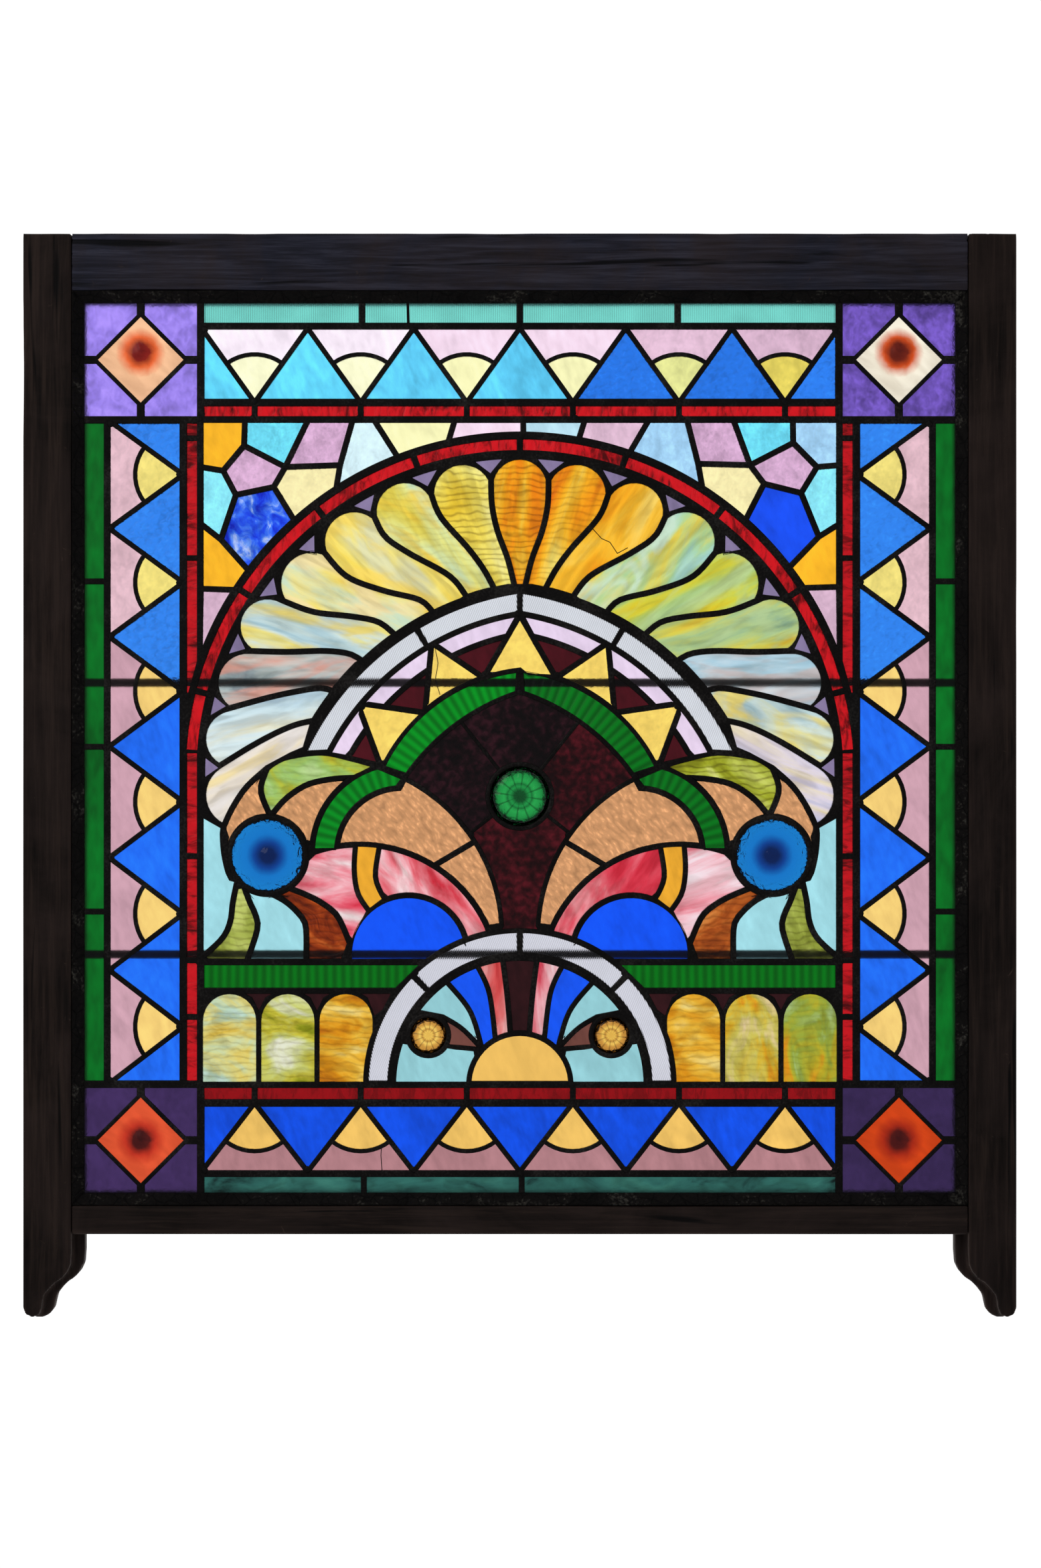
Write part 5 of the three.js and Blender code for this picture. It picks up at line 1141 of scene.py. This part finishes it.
# Pressed jewels, with a ring of facets, and spun rondels
def jewel_glass(name, colours, stops_at, r, spokes=0.0):
    """Glass whose colour changes with the distance from the middle, with spokes in its outer part."""
    m = Nodes(name)
    at = m.coords()
    scaled = m.calc("MULTIPLY", m.distance(at), 1000 / r)
    waves = m.noise(at, 120, 2, 1)
    value = m.calc("MULTIPLY_ADD", waves, 0.06, scaled)
    tint = m.ramp(value, [(where, srgb(*colour)) for where, colour in zip(stops_at, colours)])
    if spokes:
        # The spokes are painted shade: dark lines at the edges of the pressed facets, over the outer ring
        # only.
        lifted = m.wave(m.calc("MULTIPLY", m.angle(at), float(FACETS)))
        dark = m.ramp(lifted, [(0.0, grey(0.2)), (0.16, WHITE)])
        band = m.ramp(scaled, [(0.4, BLACK), (0.5, grey(spokes))])
        tint = m.mix(band, tint, dark, "MULTIPLY")
    return glass_finish(m, tint, m.bump(waves, 0.3, 0.002), 0.08)


FACETS = 12


def add_jewel(spec, proud, looks):
    r = spec["r"]
    rim, crown = r - 1.2, CAME_FRONT - proud

    def facet(radius, angle):
        if not r * 0.45 < radius < rim:
            return 0
        return 0.9 * abs(math.sin(angle * FACETS / 2))

    profile = [(0.4, GLASS_BACK), (r + 0.9, GLASS_BACK), (r + 0.9, GLASS_FRONT), (rim, GLASS_FRONT),
               (rim * 0.96, CAME_FRONT - proud * 0.2), (rim * 0.88, CAME_FRONT - proud * 0.55),
               (rim * 0.74, CAME_FRONT - proud * 0.85), (rim * 0.6, crown), (rim * 0.52, crown + 0.5),
               (rim * 0.42, crown + proud * 0.3), (rim * 0.22, crown + proud * 0.2),
               (0.4, crown + proud * 0.1)]
    look = jewel_glass(f"glass_{spec['node']}", looks, JEWEL_STOPS, r, 0.7)
    obj = turned(profile, spec, 96, f"{spec['node']}_pressed", [look], facet)
    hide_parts(spec["node"])


def add_rondel(spec):
    r = spec["r"]
    profile = [(0.4, GLASS_BACK), (r + 1.2, GLASS_BACK), (r + 1.2, GLASS_FRONT)]
    for k in range(24, 0, -1):
        away = r * k / 24
        lift = 0.22 * math.sin(away / 1.9) + 2.4 * math.exp(-(away / (r * 0.2)) ** 2)
        profile.append((away, GLASS_FRONT - 0.25 - lift))
    profile.append((0.4, GLASS_FRONT - 2.6))
    look = jewel_glass(f"glass_{spec['node']}", RONDEL_LOOK, RONDEL_STOPS, r)
    obj = turned(profile, spec, 96, f"{spec['node']}_spun", [look])
    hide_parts(spec["node"])


# Colours from the middle outwards, and how far out each one starts
JEWEL_STOPS = (0.3, 0.42, 0.5, 0.62, 0.9, 1.03)
# On the jewels, the alternating bright and dark rings are painted light: glints and shade of the pressed
# facets.
JEWEL_LOOKS = {
    "jewel_green": (5.6, ((4, 44, 20), (20, 120, 56), (6, 64, 28), (40, 170, 80), (24, 130, 60),
                          (8, 70, 34))),
    "jewel_yellow_left": (3.3, ((214, 160, 60), (236, 190, 84), (150, 96, 30), (248, 214, 110),
                                (232, 184, 84), (170, 110, 40))),
    "jewel_yellow_right": (3.3, ((206, 150, 56), (230, 182, 78), (146, 92, 30), (244, 206, 100),
                                 (226, 176, 78), (166, 106, 40))),
}
RONDEL_STOPS = (0.28, 0.46, 0.66, 0.96)
RONDEL_LOOK = ((4, 20, 62), (8, 60, 140), (16, 116, 198), (20, 126, 206))
for spec in rounds:
    if spec["node"] in JEWEL_LOOKS:
        add_jewel(spec, *JEWEL_LOOKS[spec["node"]])
    else:
        add_rondel(spec)


# Lead: the cames' front flanges with rounded edges, the hearts between panes, and soldered joints
ROUNDING = 1.1
SOLDER_R = 3.6
SOLDER_PROUD = 0.7
BACK_Y = CAME_FRONT + CAME_DEPTH
# A heart's wall: its distance from the glass that shows, thickness, and reach into both flanges
HEART_AWAY, HEART_T, HEART_OVER = 1.8, 0.5, 0.4


def lead_metal():
    m = Nodes("lead_patina")
    at = m.coords()
    blotches = m.noise(at, 22, 5, 0.6, 0.6)
    fine = m.noise(at, 420, 3)
    tint = m.ramp(m.mix(0.4, blotches, fine), [(0.35, srgb(20, 17, 15)), (0.52, srgb(36, 32, 30)),
                                               (0.68, srgb(74, 70, 66))])
    rough = m.ramp(blotches, [(0.3, grey(0.62)), (0.7, grey(0.42))])
    return m.finish(tint, m.bump(m.mix(0.5, blotches, fine), 0.5, 0.0012), rough, Metallic=0.35,
                    Specular_IOR_Level=0.3)


def add_sheet_with_holes(bm, border, holes, y, front):
    """Flat faces between a border and many holes, at one depth."""
    loops = [border, *holes]
    points = [Vector(p) for loop in loops for p in loop]
    faces, start = [], 0
    for loop in loops:
        faces.append(list(range(start, start + len(loop))))
        start += len(loop)
    coords, _, triangles, _, _, sources = geometry.delaunay_2d_cdt(points, [], faces, 1, 1e-4)
    verts = [bm.verts.new(place(p.x, p.y, y)) for p in coords]
    for triangle, source in zip(triangles, sources):
        if source == [0]:
            corners = [verts[i] for i in triangle]
            bm.faces.new(corners if front else corners[::-1])


def flange_plate(name, y_outer, y_inner, holes, material):
    """The flanges of all the cames: a plate with a rounded edge at every pane."""
    bm = bmesh.new()
    step = 1 if y_inner > y_outer else -1
    border = rect(-SIGHT_HALF_W - PANEL_EDGE, -PANEL_EDGE, SIGHT_HALF_W + PANEL_EDGE, SIGHT_H + PANEL_EDGE)
    profile = [(0, y_inner), (0, y_outer + step * 0.95), (0.3, y_outer + step * 0.35), (ROUNDING, y_outer)]
    grown = []
    for hole in holes:
        loops = [add_loop(bm, inset(hole, -out), y) for out, y in profile]
        grown.append(inset(hole, -ROUNDING))
        if any(len(loop) != len(hole) for loop in loops):
            raise ValueError(f"an outline of {name} changed its number of points")
        for a, b in zip(loops, loops[1:]):
            bridge(bm, a, b)
    add_sheet_with_holes(bm, border, grown, y_outer, step > 0)
    add_sheet_with_holes(bm, border, holes, y_inner, step < 0)
    bridge(bm, add_loop(bm, border, y_outer), add_loop(bm, border, y_inner))
    bmesh.ops.remove_doubles(bm, verts=bm.verts[:], dist=5e-6)
    return to_object(bm, name, [material])


CORNER_DEG = 32
JOINT_NEAR = 10
JOINT_CELL = 12
JOINTS_APART = 8


def junctions():
    """Where the corners of three or more panes meet."""
    found = []
    bend = math.radians(CORNER_DEG)
    for index, pane in enumerate(panes):
        outline = pane["outline"]
        for p, q, r in zip(outline[-1:] + outline[:-1], outline, outline[1:] + outline[:1]):
            a, b = Vector(q) - Vector(p), Vector(r) - Vector(q)
            if a.length > 0.2 and b.length > 0.2 and abs(a.angle_signed(b)) > bend:
                found.append((index, q))
    cells = {}
    for index, (x, z) in found:
        cells.setdefault((round(x / JOINT_CELL), round(z / JOINT_CELL)), []).append((index, x, z))
    centres = []
    for index, (x, z) in found:
        i, j = round(x / JOINT_CELL), round(z / JOINT_CELL)
        near = [c for di in (-1, 0, 1) for dj in (-1, 0, 1) for c in cells.get((i + di, j + dj), [])
                if math.dist((x, z), c[1:]) < JOINT_NEAR]
        if len({c[0] for c in near}) < 3:
            continue
        at = (sum(c[1] for c in near) / len(near), sum(c[2] for c in near) / len(near))
        if all(math.dist(at, other) > JOINTS_APART for other in centres):
            centres.append(at)
    return centres


def add_solder(bm, at, seed):
    """A flat, uneven blob of solder over a joint."""
    for v in bmesh.ops.create_icosphere(bm, subdivisions=2, radius=1)["verts"]:
        r = SOLDER_R * (1 + 0.22 * noise.noise(v.co * 1.7 + Vector((seed * 3.1, seed, 0))))
        v.co = place(at[0] + v.co.x * r, at[1] + v.co.z * r, CAME_FRONT + v.co.y * SOLDER_PROUD)


lead = lead_metal()
openings = [counter_clockwise(clean(pane["outline"])) for pane in panes]
openings += [clean(spec["outline"]) for spec in bullions]
openings += [clean(circle(spec)) for spec in rounds]
front_leads = flange_plate("lead_front_flanges", CAME_FRONT, CAME_FRONT + FLANGE_T, openings, lead)
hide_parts("lead_cames")
back_leads = flange_plate("lead_back_flanges", BACK_Y, BACK_Y - FLANGE_T, openings, lead)
bm = bmesh.new()
heart_ys = (GLASS_FRONT - HEART_OVER, GLASS_BACK + HEART_OVER)
for pane in [spec["outline"] for spec in bullions] + [pane["outline"] for pane in panes]:
    near = inset(pane, -HEART_AWAY)
    far = inset(near, -HEART_T)
    if len(near) != len(far):
        continue
    corners = ((near, heart_ys[0]), (near, heart_ys[1]), (far, heart_ys[1]), (far, heart_ys[0]))
    loops = [add_loop(bm, outline, y) for outline, y in corners]
    for a, b in zip(loops, loops[1:] + loops[:1]):
        bridge(bm, a, b)
hearts = to_object(bm, "lead_hearts", [lead])
bm = bmesh.new()
for number, at in enumerate(junctions()):
    add_solder(bm, at, number)
solder = to_object(bm, "solder_joints", [lead], smooth=True)

# Came rings round the jewels and rondels: how far out from the glass, and how high
RING_PROFILE = ((0, 0), (0.3, 0.9), (1.2, 1.5), (2.7, 1.8), (4.2, 1.4), (5.2, 0.6), (5.4, 0))
RING_SIDES = 72
bm = bmesh.new()
for spec in rounds:
    loops = []
    for out, lift in RING_PROFILE:
        outline = [polar(spec["x"], spec["z"], spec["r"] + out, 360 * k / RING_SIDES)
                   for k in range(RING_SIDES)]
        loops.append(add_loop(bm, outline, CAME_FRONT - lift + 0.3))
    for a, b in zip(loops, loops[1:] + loops[:1]):
        bridge(bm, a, b)
rings = to_object(bm, "jewel_rings", [lead], smooth=True)


# Mends and cracks: a thin strap of lead, and dirty cracks that show as dark threads
THREADS = [
    (3, [(-120, 935), (-120.6, SIGHT_H)]),
    (0.9, [(78, 715), (88, 704), (97, 700), (105, 688), (116, 694)]),
    (0.9, [(-149, 49), (-149.5, 40), (-148.5, 24)]),
    (0.8, [(-92, 590), (-88, 570), (-91, 552), (-86, 536)]),
]
bm = bmesh.new()
for width, points in THREADS:
    for (x0, z0), (x1, z1) in zip(points, points[1:]):
        length = math.hypot(x1 - x0, z1 - z0)
        ux, uz = (x1 - x0) / length, (z1 - z0) / length
        sx, sz = -uz * width / 2, ux * width / 2
        x0, z0, x1, z1 = x0 - ux * 0.3, z0 - uz * 0.3, x1 + ux * 0.3, z1 + uz * 0.3
        add_slab(bm, [(x0 - sx, z0 - sz), (x1 - sx, z1 - sz), (x1 + sx, z1 + sz), (x0 + sx, z0 + sz)],
                 GLASS_FRONT - 0.15, GLASS_FRONT + 0.1)
threads = to_object(bm, "mends_and_cracks", [lead])


# Putty: a sloped bead round the rebate, brushed unevenly and cracked
def putty_paste():
    m = Nodes("old_putty")
    at = m.coords()
    blotches = m.noise(at, 14, 5, 0.8, 0.65)
    fine = m.noise(at, 300, 4)
    cracks = m.add("ShaderNodeTexVoronoi", {"Vector": at, "Scale": 55.0},
                   feature="DISTANCE_TO_EDGE").outputs["Distance"]
    tint = m.ramp(m.mix(0.35, blotches, fine), [(0.4, srgb(20, 17, 16)), (0.56, srgb(34, 30, 28)),
                                                (0.64, srgb(92, 88, 80)), (0.72, srgb(150, 146, 134))])
    seams = m.ramp(cracks, [(0.0, grey(0.15)), (0.05, WHITE)])
    return m.finish(m.mix(0.7, tint, seams, "MULTIPLY"), m.bump(m.mix(0.4, fine, seams), 0.7, 0.002), 0.85,
                    Specular_IOR_Level=0.2)


PUTTY_FRONT = -SASH_T / 2 + 1
PUTTY_BACK = CAME_FRONT - 0.3
PUTTY_STEP = 5
PUTTY_LINES = 7
PUTTY_W = REBATE_W - 0.6


def putty_side(bm, start, end, inward):
    """A run of bead from corner to corner: out, up the slope and down the sight line."""
    along = (end - start).normalized()
    count = round((end - start).length / PUTTY_STEP)
    rows = []
    for i in range(count + 1):
        t = i / count
        rows.append([])
        for k in range(PUTTY_LINES):
            across = k / (PUTTY_LINES - 1)
            corner = start.lerp(end, t)
            # Mitred at both ends: the bead's inner edge is shorter than its outer one
            mitre = along * (across * PUTTY_W * (1 - 2 * t))
            at = corner + mitre + inward * (across * PUTTY_W)
            rough = noise.noise(Vector((at.x * 0.05, at.y * 0.05, k * 0.7)))
            rough += 0.5 * noise.noise(Vector((at.x * 0.19, at.y * 0.19, 3)))
            y = PUTTY_FRONT + (PUTTY_BACK - 0.5 - PUTTY_FRONT) * across ** 0.85
            lift = 0.9 * rough * math.sin(math.pi * min(1, across + 0.12))
            slide = inward * (0.7 * rough if k == PUTTY_LINES - 1 else 0)
            rows[-1].append(bm.verts.new(place(*(at + slide), max(y + lift, -SASH_T / 2 + 0.2))))
        rows[-1].append(bm.verts.new(place(*(corner + mitre + inward * PUTTY_W), PUTTY_BACK)))
        rows[-1].append(bm.verts.new(place(*corner, PUTTY_BACK)))
    add_tube(bm, rows)


bm = bmesh.new()
px, low, high = SIGHT_HALF_W + REBATE_W - 0.3, -REBATE_W + 0.3, SIGHT_H + REBATE_W - 0.3
corner_points = [Vector(p) for p in ((-px, low), (px, low), (px, high), (-px, high))]
for i in range(4):
    start, end = corner_points[i], corner_points[(i + 1) % 4]
    along = (end - start).normalized()
    putty_side(bm, start, end, Vector((-along.y, along.x)))
putty = to_object(bm, "putty_bead", [putty_paste()], smooth=True)
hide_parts("glazing_putty")


# Wood: the solids' own forms, worn round at the edges and cracked along the grain
def old_wood(name, grain_axis, dark, middle, light):
    m = Nodes(name)
    stretch = {"X": (0.05, 1, 1), "Z": (1, 1, 0.05)}[grain_axis]
    at = m.coords()
    grain_at = m.coords(stretch)
    grain = m.noise(grain_at, 160, 5, 0.4, 0.65)
    cracks = m.noise(grain_at, 75, 3, 0.5)
    blotches = m.noise(at, 7, 5, 0.8, 0.6)
    scuffs = m.noise(at, 46, 6, 1.5, 0.7)
    tint = m.ramp(grain, [(0.32, srgb(*dark)), (0.5, srgb(*middle)), (0.66, srgb(*light))])
    haze = m.ramp(blotches, [(0.42, BLACK), (0.66, grey(0.5))])
    tint = m.mix(haze, tint, srgb(84, 66, 60))
    worn = m.ramp(scuffs, [(0.66, BLACK), (0.74, grey(0.6))])
    tint = m.mix(worn, tint, srgb(116, 94, 80))
    splits = m.ramp(cracks, [(0.3, BLACK), (0.36, WHITE)])
    tint = m.mix(0.85, tint, splits, "MULTIPLY")
    height = m.mix(0.6, m.mix(0.35, grain, scuffs), splits)
    return m.finish(tint, m.bump(height, 0.75, 0.002), 0.72, Specular_IOR_Level=0.25)


WEAR_VOXEL = 0.0021
WEAR_DEPTH = 0.0011
EDGE_BAND = 0.006


def weathered(node, material, axis):
    """A copy of a wooden solid, remeshed fine and worn down a little, never out."""
    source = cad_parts[node]
    mesh = source.data.copy()
    mesh.transform(source.matrix_world)
    draft = bpy.data.objects.new("draft", mesh)
    bpy.context.scene.collection.objects.link(draft)
    remesh = draft.modifiers.new("fine", "REMESH")
    remesh.mode = "VOXEL"
    remesh.voxel_size = WEAR_VOXEL
    bpy.context.view_layer.update()
    solid = bpy.data.meshes.new_from_object(draft.evaluated_get(bpy.context.evaluated_depsgraph_get()))
    bpy.data.objects.remove(draft)
    solid.name = f"{node}_worn"
    normals = [v.normal.copy() for v in solid.vertices]
    for v, normal in zip(solid.vertices, normals):
        p = v.co
        along, across = (p.z, p.x) if axis == "Z" else (p.x, p.z)
        wear = 0.5 + 0.5 * noise.noise(Vector((across * 30, p.y * 30, along * 5)))
        pit = max(0, noise.noise(Vector((across * 210, p.y * 90, along * 4 + 7))) - 0.28) * 2.2
        edge = min(1, max(0, p.z + EDGE_BAND) / EDGE_BAND)
        bite = max(0, noise.noise(Vector((p.x * 16, p.y * 9, p.z * 16 + 2)))) * edge
        v.co = p - normal * (WEAR_DEPTH * (0.25 * wear + pit) + 0.0012 * bite)
    solid.materials.clear()
    solid.materials.append(material)
    solid.shade_smooth()
    obj = new_object(solid.name, solid)
    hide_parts(node)


BROWN = ((24, 16, 12), (46, 34, 29), (70, 54, 46))
# Lighter, bluish tones for the top rail are painted light: a bluish haze of light over the top of the
# frame, on the same grain, wear and cracks as the other wood.
BLUISH_PAINTED_HAZE = ((34, 34, 42), (60, 60, 76), (88, 88, 106))
wood_upright = old_wood("wood_upright", "Z", *BROWN)
for node in ("stile_left", "stile_right"):
    weathered(node, wood_upright, "Z")
weathered("rail_bottom", old_wood("wood_level", "X", *BROWN), "X")
# The top rail takes the bluish haze of painted light.
weathered("rail_top", old_wood("wood_painted", "X", *BLUISH_PAINTED_HAZE), "X")


# Saddle bars: round iron, pitted with rust
def rusty_iron():
    m = Nodes("rusty_iron")
    at = m.coords()
    rust = m.noise(at, 90, 6, 1.2, 0.7)
    tint = m.ramp(rust, [(0.35, srgb(18, 14, 13)), (0.55, srgb(42, 26, 18)), (0.7, srgb(84, 48, 28))])
    return m.finish(tint, m.bump(rust, 0.6, 0.002), 0.75, Metallic=0.4)


iron = rusty_iron()
BAR_LET_IN = 12
BAR_SIDES, BAR_RINGS = 20, 160
for node, height in BAR_HEIGHTS.items():
    bm = bmesh.new()
    reach = SIGHT_HALF_W + BAR_LET_IN
    loops = []
    for i in range(BAR_RINGS + 1):
        x = -reach + 2 * reach * i / BAR_RINGS
        loops.append([])
        for k in range(BAR_SIDES):
            a = 2 * math.pi * k / BAR_SIDES
            pitted = 0.3 * noise.noise(Vector((x * 0.11, math.cos(a) * 1.5, math.sin(a) * 1.5 + height)))
            r = BAR_D / 2 - 0.15 + 0.5 * pitted
            loops[-1].append(bm.verts.new(place(x, height + r * math.sin(a), BAR_Y + r * math.cos(a))))
    add_tube(bm, loops)
    obj = to_object(bm, f"{node}_round", [iron], smooth=True)
    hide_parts(node)


# Light: a bright sky behind the window, dim in front of it
FRONT_SKY = (0.16, 0.165, 0.175, 1)
BACK_SKY = (1.06, 1.06, 1.06, 1)
world = bpy.data.worlds.new("backlight")
bpy.context.scene.world = world
world.use_nodes = True
nodes, links = world.node_tree.nodes, world.node_tree.links
heading = nodes.new("ShaderNodeSeparateXYZ")
links.new(nodes.new("ShaderNodeTexCoord").outputs["Generated"], heading.inputs[0])
shifted = nodes.new("ShaderNodeMath")
shifted.operation = "MULTIPLY_ADD"
shifted.inputs[1].default_value = 0.5
shifted.inputs[2].default_value = 0.5
links.new(heading.outputs["Y"], shifted.inputs[0])
sky = nodes.new("ShaderNodeValToRGB")
links.new(shifted.outputs[0], sky.inputs["Fac"])
for element, at, colour in zip(sky.color_ramp.elements, (0.35, 0.62), (FRONT_SKY, BACK_SKY)):
    element.position = at
    element.color = colour
links.new(sky.outputs["Color"], nodes["Background"].inputs["Color"])

key = bpy.data.lights.new("soft_front", "AREA")
key.shape = "RECTANGLE"
key.size, key.size_y = 1.8, 1.2
key.energy = 5
lamp = bpy.data.objects.new("soft_front", key)
bpy.context.scene.collection.objects.link(lamp)
lamp.location = (-1.5, -1.6, 0.6)
lamp.rotation_euler = (Vector((0, 0, -0.5)) - lamp.location).to_track_quat("-Z", "Y").to_euler()

# Camera: straight on and far away, framed as the photograph is
PHOTO_W, PHOTO_H = 1568, 2361
MM_PER_PIXEL = 0.7145
CAMERA_AWAY = 5
camera = bpy.data.objects.new("camera", bpy.data.cameras.new("camera"))
bpy.context.scene.collection.objects.link(camera)
bpy.context.scene.camera = camera
# The panel's centre line and lower sight line in the photograph, in pixels
CENTRE_LINE_PX, SIGHT_LINE_PX = 783, 1796
middle = (PHOTO_W / 2 - CENTRE_LINE_PX) * MM_PER_PIXEL, (SIGHT_LINE_PX - PHOTO_H / 2) * MM_PER_PIXEL
camera.location = place(*middle, -SASH_T / 2 - 1000 * CAMERA_AWAY)
camera.rotation_euler = (math.pi / 2, 0, 0)
camera.data.sensor_fit = "VERTICAL"
camera.data.sensor_height = 36
camera.data.lens = 36 * (CAMERA_AWAY + 0.01) / (PHOTO_H * MM_PER_PIXEL / 1000)
bpy.context.scene.view_settings.view_transform = "Standard"
